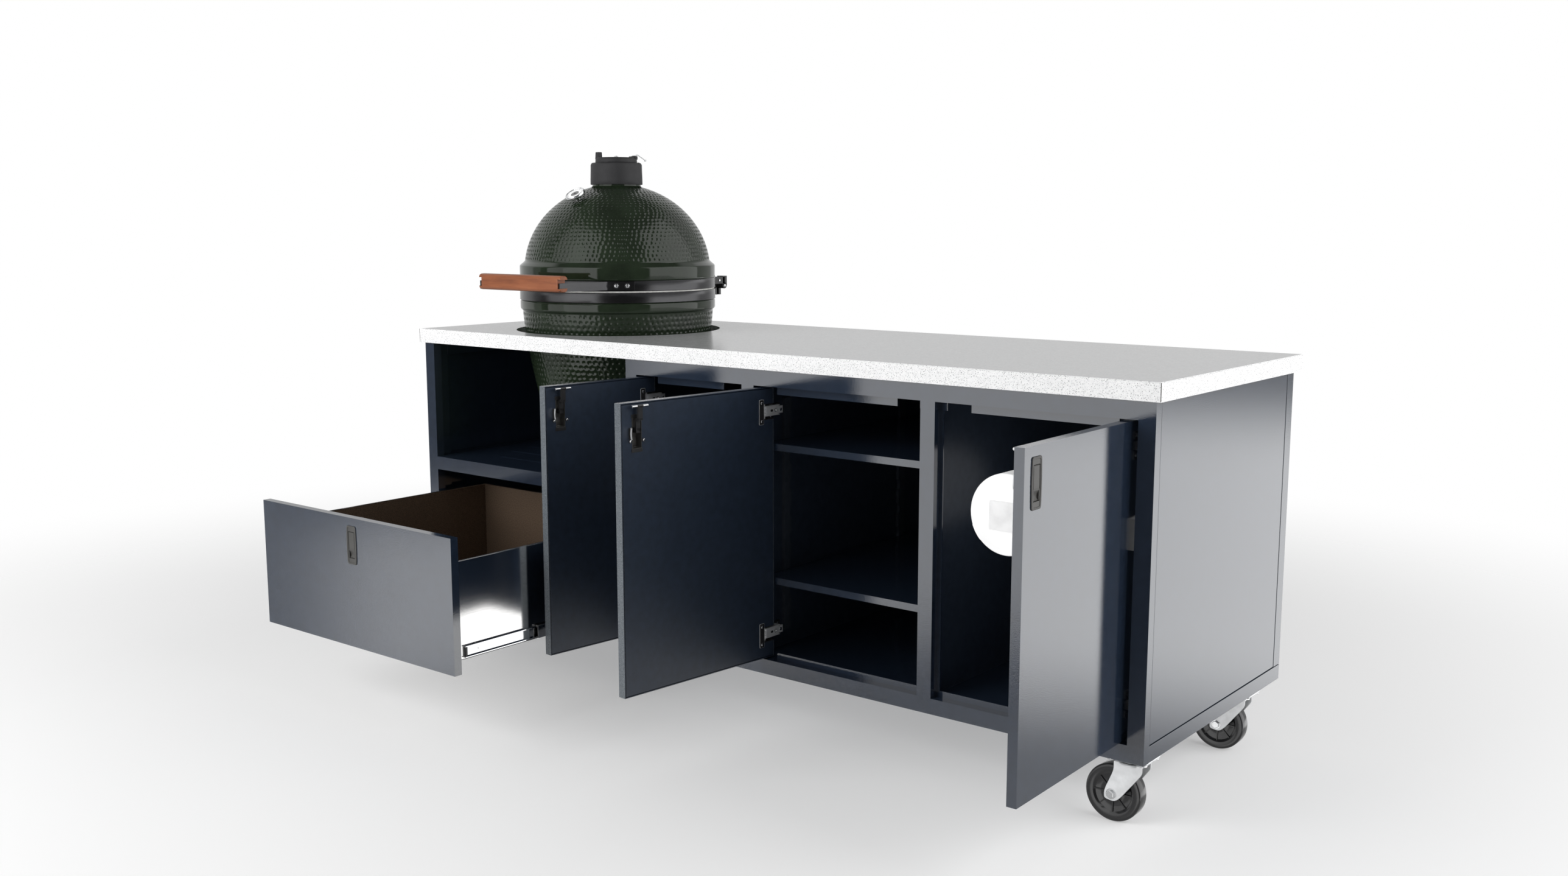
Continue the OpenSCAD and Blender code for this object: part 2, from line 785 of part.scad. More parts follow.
module drawer_member(l) {
    back = slide_t - 2 * channel_t - 2 * run;
    translate([slide_t, 0, 2 * channel_t + 2 * run]) scale([-1, 1, 1])
        channel(back - 1, member_h, l);
}

// The pair of slides of one drawer: x0 and x1 are the faces that the rails are fixed to
module pair(x0, x1) {
    translate([x0, 0, 0]) children();
    translate([x1, 0, 0]) scale([-1, 1, 1]) children();
}

big_slide_z = big_box_z;

module slide_rails() {
    place() color(steel) {
        pair(bay1_x, bay1_x + bay1_w) {
            translate([0, slide_y, big_slide_z]) rail_member(slide_l);
        }
        for (z = [upper_inner_z, lower_inner_z])
            pair(inner_x - slide_t, inner_x + inner_w + slide_t)
                translate([0, inner_slide_y, slide_low(z)]) rail_member(inner_slide_l);
    }
}

module big_drawer_mid_slides() {
    place() color(steel) pair(bay1_x, bay1_x + bay1_w)
        translate([0, slide_y - big_mid_out, big_slide_z]) mid_member(slide_l);
}

// Room at each side of the big drawer's latch, in the front wall of its box
latch_room = 16;
module big_drawer_box() {
    place() color(steel) {
        difference() {
            box(big_box_x, big_box_y, big_box_z, big_box_w, big_box_d, big_box_h);
            box(big_box_x + big_wall, big_box_y + big_wall, big_box_z + big_wall,
                big_box_w - 2 * big_wall, big_box_d - 2 * big_wall, big_box_h);
            big_latch_at() translate([-slot_w / 2 - latch_room, door_t - eps, -slot_h / 2 - 6])
                cube([slot_w + 2 * latch_room, 2 * latch_room, slot_h + big_box_h]);
        }
        pair(bay1_x, bay1_x + bay1_w)
            translate([0, slide_y - big_open + 6, big_slide_z]) drawer_member(slide_l - 6);
    }
}

module big_drawer_latch() {
    place() color(black) big_latch_at() latch_body();
}

module big_drawer_paddle() {
    place() color(black) big_latch_at() latch_paddle();
}

// Width of the ledge that the bin's rim rests on
bin_lip = 2;
module inner_tray(z) {
    difference() {
        box(inner_x, inner_y, z, inner_w, inner_d, inner_h);
        box(inner_x + big_wall, inner_y + big_wall, z + big_wall,
            inner_w - 2 * big_wall, inner_d - 2 * big_wall, inner_h);
        children();
    }
    pair(inner_x - slide_t, inner_x + inner_w + slide_t)
        translate([0, inner_slide_y, slide_low(z)]) drawer_member(inner_slide_l);
}

module upper_drawer_box() {
    place() color(steel) inner_tray(upper_inner_z);
}

// The lower drawer has a cross wall, and behind it no floor, so that the bin hangs through
module lower_drawer_box() {
    cross_y = bin_y - bin_clear - big_wall;
    place() color(steel) {
        inner_tray(lower_inner_z)
            box(inner_x + big_wall + bin_lip, cross_y + big_wall + bin_lip, lower_inner_z - eps,
                inner_w - 2 * big_wall - 2 * bin_lip,
                inner_y + inner_d - big_wall - bin_lip - cross_y - big_wall - bin_lip, inner_h);
        box(inner_x + big_wall, cross_y, lower_inner_z + big_wall, inner_w - 2 * big_wall, big_wall,
            inner_h - big_wall - 4);
    }
}
module upper_drawer_mid_slides() {
    place() color(steel) pair(inner_x - slide_t, inner_x + inner_w + slide_t)
        translate([0, inner_slide_y, slide_low(upper_inner_z)]) mid_member(inner_slide_l);
}

module lower_drawer_mid_slides() {
    place() color(steel) pair(inner_x - slide_t, inner_x + inner_w + slide_t)
        translate([0, inner_slide_y, slide_low(lower_inner_z)]) mid_member(inner_slide_l);
}

// The bin is one rounded tub, narrower at its foot, with a rim that rests on the drawer
module tub(w, l, r, z) {
    translate([0, 0, z]) linear_extrude(1) round_plate(w, l, r, $fn = 32);
}

module waste_bin() {
    top_w2 = bin_w - 8;
    top_l2 = bin_l - 8;
    foot_w = bin_w - 56;
    foot_l = bin_l - 56;
    rim_w = inner_w - 2;
    place() color(grey) translate([inner_x + inner_w / 2, bin_y + bin_l / 2, bin_top_z - bin_h])
        difference() {
            union() {
                hull() {
                    tub(foot_w, foot_l, bin_r, 0);
                    tub(top_w2, top_l2, bin_r, bin_h - 9);
                }
                translate([0, 0, bin_h - 8]) linear_extrude(8) round_plate(rim_w, bin_l, bin_r, $fn = 32);
            }
            hull() {
                tub(foot_w - 2 * bin_wall, foot_l - 2 * bin_wall, bin_r - bin_wall, bin_wall);
                tub(top_w2 - 2 * bin_wall, top_l2 - 2 * bin_wall, bin_r - bin_wall, bin_h);
            }
        }
}

// Paper roll

module paper_roll() {
    place() color(paper) translate([roll_x, roll_y, roll_z]) rotate([-90, 0, 0]) difference() {
        cylinder(r = roll_r, h = roll_l, $fn = 96);
        translate([0, 0, -eps]) cylinder(r = core_r, h = roll_l + 2 * eps);
    }
}

// A strap from the bay's right wall across the roll's face, and the spindle behind it
module roll_holder() {
    x1 = bay4_x + bay4_w + wall_in;
    place() color(steel) {
        box(roll_x - holder_h / 2, holder_y, roll_z - holder_h / 2, x1 - roll_x + holder_h / 2,
            holder_t, holder_h);
        box(x1 - holder_t, holder_y + holder_t, roll_z - holder_h / 2, holder_t, 40, holder_h);
        translate([roll_x, holder_y + holder_t, roll_z]) rotate([-90, 0, 0])
            cylinder(r = spindle_r, h = roll_y + roll_l + 12 - holder_y - holder_t);
        for (y = [roll_y + 2, roll_y + roll_l - 14])
            translate([roll_x, y, roll_z]) rotate([-90, 0, 0]) cylinder(r = core_r - 0.06, h = 12);
    }
}

// Casters: 1 and 2 at the front, 3 and 4 at the back, odd ones at the left

function caster_x(n) = (n == 1 || n == 3 ? wheel_end : top_w - wheel_end) + trail;
function caster_y(n) = n < 3 ? wheel_front : wheel_front + wheel_base;
plate_t = 5;
race_h = 9;
king_r = 8;
fork_gap = 3;
fork_t = 4;
fork_top = caster_h - plate_t - race_h;

module caster_plates() {
    place() color(steel) for (n = [1:4]) translate([caster_x(n), caster_y(n), caster_h - plate_t]) {
        difference() {
            translate([-45, -35, 0]) cube([90, 70, plate_t]);
            for (x = [-1, 1]) for (y = [-1, 1])
                translate([x * 37, y * 27, -eps]) cylinder(r = 4.5, h = plate_t + 2 * eps, $fn = 24);
        }
        translate([0, 0, fork_top + 0.3 - caster_h + plate_t]) difference() {
            cylinder(r = 24, h = race_h - 0.3);
            translate([0, 0, -eps]) cylinder(r = king_r + 0.06, h = race_h + eps - 0.3);
        }
    }
}

module caster_fork(n) {
    place() color(steel) translate([caster_x(n), caster_y(n), 0]) {
        translate([0, 0, fork_top - fork_t]) {
            cylinder(r = 30, h = fork_t);
            cylinder(r = king_r, h = fork_t + race_h - 1);
            translate([-30, -wheel_w / 2 - fork_gap - fork_t, 0])
                cube([60, wheel_w + 2 * fork_gap + 2 * fork_t, fork_t]);
        }
        for (s = [-1, 1]) difference() {
            translate([0, s * (wheel_w / 2 + fork_gap + fork_t / 2) + fork_t / 2, 0]) rotate([90, 0, 0])
                linear_extrude(fork_t) polygon([[30, fork_top], [-30, fork_top],
                    [-30, fork_top - 20], [-trail - 15, wheel_r + 6], [-trail - 15, wheel_r - 12],
                    [-trail + 12, wheel_r - 15], [20, fork_top - 30], [30, fork_top - 16]]);
            translate([-trail, 0, wheel_r]) rotate([90, 0, 0])
                cylinder(r = 5, h = 90, center = true, $fn = 32);
        }
        translate([-trail, 0, wheel_r]) rotate([90, 0, 0])
            cylinder(r = 5, h = wheel_w + 2 * fork_gap + 2 * fork_t, center = true, $fn = 32);
        for (s = [-1, 1])
            translate([-trail, s * (wheel_w / 2 + fork_gap + fork_t + 3), wheel_r]) rotate([90, 0, 0])
                cylinder(r = 9, h = 6, center = true, $fn = 6);
    }
}

module caster_wheel(n) {
    hub_w = wheel_w + 2 * fork_gap - 1;
    place() color(black) translate([caster_x(n) - trail, caster_y(n), wheel_r]) rotate([90, 0, 0])
        rotate_extrude($fn = 96) polygon([[5.06, -hub_w / 2], [14, -hub_w / 2], [14, -wheel_w / 2 + 4],
            [wheel_r - 20, -wheel_w / 2 + 4], [wheel_r - 16, -wheel_w / 2], [wheel_r - 3, -wheel_w / 2],
            [wheel_r, -wheel_w / 2 + 4], [wheel_r, wheel_w / 2 - 4], [wheel_r - 3, wheel_w / 2],
            [wheel_r - 16, wheel_w / 2], [wheel_r - 20, wheel_w / 2 - 4], [14, wheel_w / 2 - 4],
            [14, hub_w / 2], [5.06, hub_w / 2]]);
}

// Grill

// Radius of the base's outer face at height z, from the foot up to the ring
function base_r(z) = body_r - (body_r - foot_r) * pow(max(0, 1 - (z - shelf_z)
    / (lower_ring_z - shelf_z)), 1.4);
// Radius of the dome's outer face at height z
function dome_at(z) = dome_r * sqrt(1 - pow((z - dome_mid_z) / dome_rise, 2));

base_steps = 16;
dome_steps = 24;

// A flat boss round the draft hole, with a rail above and below for the sliding door
boss_w = draft_w + 24;
boss_h = draft_h + 24;
boss_y = -base_r(draft_z + draft_h + 12) - 2;
draft_door_t = 3;
draft_door_w = draft_w + 16;
draft_door_h = draft_h + 12;
module draft_boss() {
    translate([-boss_w / 2, boss_y, draft_z - 12]) cube([boss_w, 60, boss_h]);
    for (z = [draft_z - 12, draft_z + draft_h + 12 - 5.5])
        translate([-boss_w / 2, boss_y - draft_door_t - 2, z])
            cube([boss_w + draft_w, draft_door_t + 3, 5.5]);
}

module grill_base() {
    top = joint_z - gasket_t;
    inner_foot = shelf_z + wall + 6;
    outer = [for (k = [0:base_steps]) let (z = shelf_z + (lower_ring_z - shelf_z) * k / base_steps)
        [base_r(z), z]];
    inner = [for (k = [base_steps:-1:0]) let (z = inner_foot + (lower_ring_z - inner_foot)
        * k / base_steps)
        [base_r(z) - wall, z]];
    place() color(glaze) translate([egg_x, egg_y, 0]) difference() {
        union() {
            rotate_extrude($fn = round_fn) polygon(concat([[0, shelf_z]], outer,
                [[egg_r, lower_ring_z + 6], [egg_r, lower_band_z], [ceramic_r, lower_band_z],
                    [ceramic_r, top],
                [0, top]]));
            draft_boss();
        }
        rotate_extrude($fn = round_fn)
            polygon(concat([[0, top + eps], [lip_r, top + eps], [lip_r, lower_ring_z]],
            inner, [[0, inner_foot]]));
        translate([-draft_w / 2, boss_y - wall, draft_z]) cube([draft_w, 6 * wall, draft_h]);
    }
}

module grill_fire_box() {
    bottom = shelf_z + wall + 30;
    ring_z = lower_ring_z - 40;
    gap = 8;
    steps = 8;
    ash_hole_in = 80;
    outer = [for (k = [0:steps])
        let (z = bottom + (ring_z - bottom) * k / steps) [base_r(z) - wall - gap, z]];
    inner = [for (k = [steps:-1:0])
        let (z = bottom + 12 + (ring_z - bottom - 12) * k / steps) [base_r(z) - wall - gap - 16, z]];
    place() color(clay) translate([egg_x, egg_y, 0]) {
        difference() {
            rotate_extrude($fn = round_fn)
                polygon(concat([[40, bottom]], outer, inner, [[40, bottom + 12]]));
            translate([-draft_w / 2, -egg_r, bottom - eps]) cube([draft_w, egg_r - ash_hole_in, 50]);
        }
        rotate_extrude($fn = round_fn) polygon([[base_r(ring_z) - wall - gap, ring_z],
            [base_r(ring_z) - wall - gap, ring_z + 56], [base_r(ring_z) - wall - gap - 22, ring_z + 56],
            [base_r(ring_z) - wall - gap - 22, ring_z]]);
        for (a = [45:90:315]) rotate([0, 0, a])
            translate([base_r(bottom) - wall - gap - 38, -12, shelf_z + wall + 6]) cube([24, 24, 24]);
    }
}

// A round grid: a rim and straight rods
module round_grid(r, z, rod, pitch) {
    translate([0, 0, z]) {
        difference() {
            cylinder(r = r, h = rod, $fn = round_fn);
            translate([0, 0, -eps]) cylinder(r = r - rod, h = rod + 2 * eps, $fn = round_fn);
        }
        n = floor((r - rod) / pitch);
        for (k = [-n:n]) {
            half = sqrt(pow(r - rod / 2, 2) - pow(k * pitch, 2));
            translate([k * pitch - rod / 2, -half, 0]) cube([rod, 2 * half, rod]);
        }
    }
}

module grill_grates() {
    grid_z = lower_ring_z - 40 + 56;
    grid_r = base_r(lower_ring_z - 40) - wall - 10;
    coal_z = shelf_z + wall + 30 + 12;
    coal_r = base_r(coal_z) - wall - 8 - 16 - 4;
    place() color(steel) translate([egg_x, egg_y, 0]) {
        round_grid(grid_r, grid_z, 6, 22);
        round_grid(coal_r, coal_z, 6, 18);
    }
}

module ring(r, t, z, h) {
    translate([0, 0, z]) difference() {
        cylinder(r = r, h = h, $fn = round_fn);
        translate([0, 0, -eps]) cylinder(r = r - t, h = h + 2 * eps, $fn = round_fn);
    }
}

// Hinge leaves stand off each band at the back, round a common pin
leaf_w = 22;
leaf_x = 104;
hinge_r = 9;
lid_pin_r = 4;
lid_pin_gap = 0.06;

module grill_lower_band() {
    place() color(black) translate([egg_x, egg_y, 0]) {
        ring(egg_r + 0.6, band_t, lower_band_z, band_h);
        difference() {
            for (s = [-1, 1]) translate([s * leaf_x - leaf_w / 2, 0, 0]) leaf_low();
            ring_cut();
        }
        translate([0, hinge_axis_y - egg_y, joint_z]) rotate([0, 90, 0])
            cylinder(r = lid_pin_r, h = 2 * leaf_x + 3 * leaf_w + 4, center = true, $fn = 32);
    }
}

module leaf_low() {
    translate([0, egg_r - 40, lower_band_z + 2])
        cube([leaf_w, 50 + hinge_axis_y - egg_y - egg_r - 10, band_h - 6]);
    translate([0, hinge_axis_y - egg_y, joint_z]) rotate([0, 90, 0])
        cylinder(r = hinge_r, h = leaf_w, $fn = 32);
    translate([0, hinge_axis_y - egg_y - hinge_r, lower_band_z + 2])
        cube([leaf_w, 2 * hinge_r, joint_z - lower_band_z - 2]);
}

module ring_cut() {
    translate([0, 0, lower_band_z - 10]) cylinder(r = egg_r + 0.6, h = 2 * band_h + 40, $fn = round_fn);
}

module grill_upper_band() {
    place() color(black) translate([egg_x, egg_y, 0]) {
        ring(egg_r + 0.6, band_t, upper_band_z, band_h);
        difference() {
            for (s = [-1, 1]) translate([s * (leaf_x + leaf_w + 1) - leaf_w / 2, 0, 0]) leaf_high();
            ring_cut();
            translate([0, hinge_axis_y - egg_y, joint_z]) rotate([0, 90, 0])
                cylinder(r = lid_pin_r + lid_pin_gap, h = 2 * egg_r, center = true, $fn = 32);
        }
    }
}

module leaf_high() {
    translate([0, egg_r - 60, upper_band_z + 4])
        cube([leaf_w, 60 + hinge_axis_y - egg_y - egg_r, band_h - 6]);
    translate([0, hinge_axis_y - egg_y, joint_z]) rotate([0, 90, 0])
        cylinder(r = hinge_r, h = leaf_w, $fn = 32);
    translate([0, hinge_axis_y - egg_y - hinge_r, joint_z])
        cube([leaf_w, 2 * hinge_r, upper_band_z + band_h - 2 - joint_z]);
}

module grill_lower_gasket() {
    place() color(felt) translate([egg_x, egg_y, 0]) ring(egg_r - 4, wall, joint_z - gasket_t, gasket_t);
}

module grill_upper_gasket() {
    place() color(felt) translate([egg_x, egg_y, 0]) ring(egg_r - 4, wall, joint_z, gasket_t);
}

module grill_dome() {
    low = upper_band_z;
    top = neck_z;
    step0 = ring_top_z + 4;
    outer = [for (k = [0:dome_steps]) let (z = step0 + (top - step0) * sin(90 * k / dome_steps))
        [dome_at(z), z]];
    inner_top = top - wall + 6;
    inner = [for (k = [dome_steps:-1:0]) let (z = ring_top_z + (inner_top - ring_top_z)
        * sin(90 * k / dome_steps))
        [max(dome_at(z) - wall, neck_r - 16), z]];
    place() color(glaze) translate([egg_x, egg_y, 0]) difference() {
        rotate_extrude($fn = round_fn)
            polygon(concat([[lip_r, low], [ceramic_r, low], [ceramic_r, upper_ring_z],
                [egg_r, upper_ring_z], [egg_r, ring_top_z - 6]], outer,
                [[neck_r, cap_z + cap_seat], [neck_r - 16, cap_z + cap_seat]], inner,
                [[lip_r, ring_top_z - 20]]));
        thermo_frame() {
            translate([0, 0, -60]) cylinder(r = 5.2, h = 90, $fn = 32);
            translate([0, 0, -0.8]) cylinder(r = 9.2, h = 10, $fn = 32);
        }
    }
}

thermo_z = dome_mid_z + round(0.817 * dome_rise);
module thermo_frame() {
    r = dome_at(thermo_z);
    slope = atan2(r / pow(dome_r, 2), (thermo_z - dome_mid_z) / pow(dome_rise, 2));
    translate([0, -r, thermo_z]) rotate([slope, 0, 0]) children();
}

module grill_thermometer() {
    place() color(bright) translate([egg_x, egg_y, 0]) thermo_frame() {
        translate([0, 0, -70]) cylinder(r = 3, h = 72, $fn = 24);
        translate([0, 0, -0.8]) cylinder(r = 9, h = 10, $fn = 32);
        translate([0, 0, 8]) rotate_extrude($fn = 64)
            polygon([[0, 0], [20, 0], [27, 4], [27, 12], [24, 13], [24, 10], [0, 10]]);
    }
}

module grill_handle() {
    r = 9;
    place() color(wood) translate([egg_x, handle_y, handle_z + handle_rise]) rotate([0, 90, 0])
        linear_extrude(handle_l, center = true) hull()
            for (a = [-1, 1]) for (b = [-1, 1])
                translate([a * (handle_h / 2 - r), b * (handle_t / 2 - r)]) circle(r, $fn = 32);
}

// Straps run from the handle's ends back to the band, where each bends into a bolted tab
strap_t = 4;
strap_h = 22;
function polar(r, a) = [r * cos(a), r * sin(a)];
tab_a0 = 52;
tab_a1 = 36;
tab_steps = 3;
module strap() {
    r = egg_r + 0.6;
    hx = handle_l / 2;
    hy = handle_y - egg_y;
    bar_front = hy - handle_t / 2 + 2;
    bar_back = hy + handle_t / 2;
    arm = [[hx, bar_front], [hx + strap_t, bar_front], [hx + strap_t, bar_back + 2]];
    tab = [for (k = [0:tab_steps])
        let (a = tab_a0 + (tab_a1 - tab_a0) * k / tab_steps) polar(r + strap_t, -a)];
    inside = [polar(r - 10, -tab_a1), polar(r - 10, -tab_a0), [hx, bar_back]];
    translate([0, 0, handle_z - strap_h / 2]) difference() {
        linear_extrude(strap_h) polygon(concat(arm, tab, inside));
        translate([0, 0, -eps]) cylinder(r = r, h = strap_h + 2 * eps, $fn = round_fn);
    }
    for (a = [40, 46]) rotate([0, 0, -a])
        translate([r + strap_t - 0.5, 0, handle_z]) rotate([0, 90, 0]) cylinder(r = 6, h = 4.5, $fn = 6);
}

module grill_handle_straps() {
    place() color(black) translate([egg_x, egg_y, 0]) {
        strap();
        mirror([1, 0, 0]) strap();
    }
}

// The cap: a cast ring on the neck, and a smaller lid that turns aside on a pin
lid_r = 57;
vent_r = neck_r - 21;
cap_seat = 10;
lid_pin_x = 40;
lid_pin_y = 30;
lid_t = 11;
module grill_cap() {
    z0 = cap_z;
    place() color(black) translate([egg_x, egg_y, 0]) {
        rotate_extrude($fn = 96) polygon([
            [neck_r + 0.4, z0],
            [cap_r, z0],
            [cap_r - 1, z0 + cap_h - 4],
            [cap_r - 4, z0 + cap_h],
            [vent_r, z0 + cap_h],
            [vent_r, z0 + cap_seat],
            [neck_r + 0.4, z0 + cap_seat]]);
        translate([lid_pin_x, lid_pin_y, cap_top_z - 2]) cylinder(r = 4, h = 20, $fn = 32);
    }
}

module grill_cap_lid() {
    z0 = cap_top_z + 0.3;
    place() color(black) translate([egg_x, egg_y, 0]) {
        difference() {
            union() {
                translate([0, 0, z0]) cylinder(r = lid_r, h = lid_t, $fn = 96);
                translate([0, 0, z0 + lid_t]) cylinder(r = lid_r - 5, h = 3, $fn = 96);
                translate([lid_pin_x, lid_pin_y, z0]) cylinder(r = 9, h = lid_t + 7, $fn = 32);
            }
            translate([lid_pin_x, lid_pin_y, z0 - eps]) cylinder(r = 4.06, h = 30, $fn = 32);
        }
        translate([-lid_pin_x - 7, -lid_pin_y - 4, z0 + lid_t]) cube([14, 14, 18]);
        translate([0, 0, z0 + lid_t + 3]) cylinder(r = 6, h = 4, $fn = 6);
    }
}

// The draft door slides sideways in front of the hole at the foot of the grill
module grill_draft_door() {
    place() color(steel) translate([egg_x, egg_y, 0]) {
        translate([-draft_door_w / 2, boss_y - 0.3 - draft_door_t, draft_z - 6])
            cube([draft_door_w, draft_door_t, draft_door_h]);
        translate([draft_w / 2 - 16, boss_y - 0.3 - draft_door_t - 8, draft_z + draft_h / 2 - 12])
            cube([4, 8, 24]);
    }
}

module door_2_panel() { door_n_panel(2); }
module door_2_hinges() { door_n_hinges(2); }
module door_2_latch() { door_n_latch(2); }
module door_2_paddle() { door_n_paddle(2); }
module door_3_panel() { door_n_panel(3); }
module door_3_hinges() { door_n_hinges(3); }
module door_3_latch() { door_n_latch(3); }
module door_3_paddle() { door_n_paddle(3); }
module door_4_panel() { door_n_panel(4); }
module door_4_hinges() { door_n_hinges(4); }
module door_4_latch() { door_n_latch(4); }
module door_4_paddle() { door_n_paddle(4); }
module caster_1_fork() { caster_fork(1); }
module caster_1_wheel() { caster_wheel(1); }
module caster_2_fork() { caster_fork(2); }
module caster_2_wheel() { caster_wheel(2); }
module caster_3_fork() { caster_fork(3); }
module caster_3_wheel() { caster_wheel(3); }
module caster_4_fork() { caster_fork(4); }
module caster_4_wheel() { caster_wheel(4); }

worktop();
side_panels();
back_panel();
base_pan();
face_frame();
stop_frame();
partitions();
grill_shelf();
shelves();
shelf_standards();
hinge_plates();
hinge_arms();
slide_rails();
roll_holder();
caster_plates();
grill_base();
grill_fire_box();
grill_grates();
grill_lower_band();
grill_lower_gasket();
grill_draft_door();
grill_dome();
grill_upper_band();
grill_upper_gasket();
grill_handle();
grill_handle_straps();
grill_thermometer();
grill_cap();
grill_cap_lid();
door_2_panel();
door_2_hinges();
door_2_latch();
door_2_paddle();
door_3_panel();
door_3_hinges();
door_3_latch();
door_3_paddle();
door_4_panel();
door_4_hinges();
door_4_latch();
door_4_paddle();
big_drawer_front();
big_drawer_box();
big_drawer_mid_slides();
big_drawer_latch();
big_drawer_paddle();
upper_drawer_box();
upper_drawer_mid_slides();
lower_drawer_box();
lower_drawer_mid_slides();
waste_bin();
paper_roll();
caster_1_fork();
caster_1_wheel();
caster_2_fork();
caster_2_wheel();
caster_3_fork();
caster_3_wheel();
caster_4_fork();
caster_4_wheel();
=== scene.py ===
import bmesh, bpy
import numpy as np
from math import asin, atan2, copysign, cos, degrees, pi, radians, sin, sqrt
from mathutils import Matrix, Vector


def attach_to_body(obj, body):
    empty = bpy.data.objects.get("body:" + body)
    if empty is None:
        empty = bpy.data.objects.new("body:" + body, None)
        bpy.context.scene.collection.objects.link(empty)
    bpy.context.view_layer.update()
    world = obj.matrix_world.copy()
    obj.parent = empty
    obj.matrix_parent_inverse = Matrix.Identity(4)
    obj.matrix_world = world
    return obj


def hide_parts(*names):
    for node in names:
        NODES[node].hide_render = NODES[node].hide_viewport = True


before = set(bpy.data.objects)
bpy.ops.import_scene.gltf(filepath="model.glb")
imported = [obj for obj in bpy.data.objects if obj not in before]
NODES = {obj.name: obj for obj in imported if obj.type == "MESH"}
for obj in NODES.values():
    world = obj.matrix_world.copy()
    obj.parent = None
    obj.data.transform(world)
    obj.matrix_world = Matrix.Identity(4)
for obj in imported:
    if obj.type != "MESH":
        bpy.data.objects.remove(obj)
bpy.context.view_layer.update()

MID_X, MID_Y = 1100, 101.5  # the frame's origin, in the millimetres used below


def P(x, y, z):
    """Metres, from millimetres counted from the worktop's left end, its front edge and the floor."""
    return ((x - MID_X) / 1000, (y - MID_Y) / 1000, z / 1000)


def new_object(name, data):
    o = bpy.data.objects.new(name, data)
    bpy.context.scene.collection.objects.link(o)
    return o


# ---- shader nodes
def feed(owner, slot, value):
    """Links a socket, or a node's first output, to an input, or sets the input to a value."""
    if isinstance(value, (bpy.types.Node, bpy.types.NodeSocket)):
        owner.node_tree.links.new(getattr(value, "outputs", [value])[0], slot)
    else:
        slot.default_value = value


def node(owner, kind, **settings):
    """A shader node in a material or world. A setting is a property or input, with _ for a space."""
    n = owner.node_tree.nodes.new("ShaderNode" + kind)
    for key, value in settings.items():
        name = key.replace("_", " ")
        if name in n.inputs:
            feed(owner, n.inputs[name], value)
        else:
            setattr(n, key, value)
    return n


def calc(owner, operation, *values, kind="Math"):
    n = node(owner, kind, operation=operation)
    for slot, value in zip(n.inputs, values):
        feed(owner, slot, value)
    return n.outputs["Value"]


def mix_shader(owner, fac, a, b):
    n = node(owner, "MixShader", Fac=fac)
    feed(owner, n.inputs[1], a)
    feed(owner, n.inputs[2], b)
    return n


def main_socket(m, name):
    return m.node_tree.nodes["Principled BSDF"].inputs[name]


def new_mat(name, color, rough, metallic=0.0, **sockets):
    m = bpy.data.materials.new(name)
    m.use_nodes = True
    for key, value in dict(sockets, Base_Color=(*color, 1), Roughness=rough, Metallic=metallic).items():
        main_socket(m, key.replace("_", " ")).default_value = value
    return m


def coords(m, scale=(1, 1, 1)):
    return node(m, "Mapping", Scale=scale, Vector=node(m, "TexCoord").outputs["Object"])


def noise(m, vec, scale, detail=2.0, rough=0.5):
    return node(m, "TexNoise", Scale=scale, Detail=detail, Roughness=rough, Vector=vec)


def ramp(m, fac, *stops):
    """Each stop is a position and a colour or grey level."""
    r = node(m, "ValToRGB", Fac=fac)
    e = r.color_ramp.elements
    while len(e) < len(stops):
        e.new(0.5)
    for el, (at, c) in zip(e, stops):
        el.position = at
        el.color = (*c, 1) if isinstance(c, tuple) else (c, c, c, 1)
    return r


def mul(c, k):
    return tuple(min(1, x * k) for x in c)


def mottled(m, color, fac, dark, light):
    return ramp(m, fac, (0.3, mul(color, dark)), (0.7, mul(color, light)))


def tint(m, out):
    feed(m, main_socket(m, "Base Color"), out)


def bump(m, height, strength, distance):
    feed(m, main_socket(m, "Normal"), node(m, "Bump", Strength=strength, Distance=distance, Height=height))


def rough_from(m, fac, low, high):
    feed(m, main_socket(m, "Roughness"), node(m, "MapRange", To_Min=low, To_Max=high, Value=fac))


# ---- materials
def powder(name, color, ior=2.33, low=0.05, high=0.10, liner=0, edge=None):
    """liner (+1 or -1) is the way along X that a door's duller liner looks. edge is a lighter speckled colour on the
    faces that look along Y, the cut edges: partly the paint's own look there, partly a painted reflection of the light
    they catch."""
    m = new_mat(name, color, high, IOR=ior)
    v = coords(m)
    body = mottled(m, color, noise(m, v, 60, 4), 0.86, 1.14)
    rough_from(m, noise(m, v, 9, 3), low, high)
    bump(m, noise(m, v, 560, 1), 1, 0.00007)
    if liner:
        look = node(m, "SeparateXYZ", Vector=node(m, "TexCoord").outputs["Normal"]).outputs
        rough = main_socket(m, "Roughness")
        dull = ramp(m, calc(m, "MULTIPLY", look["X"], liner), (0.6, 0), (0.8, 0.30))
        feed(m, rough, calc(m, "ADD", rough.links[0].from_socket, dull))
        if edge:
            # Partly painted reflection: the faces that look along Y get a lighter, speckled colour.
            speckled = ramp(m, noise(m, v, 700, 1), (0.38, mul(edge, 0.65)), (0.62, mul(edge, 1.35)))
            side = ramp(m, calc(m, "ABSOLUTE", look["Y"]), (0.75, 0), (0.9, 1))
            body = node(m, "Mix", data_type="RGBA", Factor=side, A=body, B=speckled).outputs["Result"]
    tint(m, body)
    return m


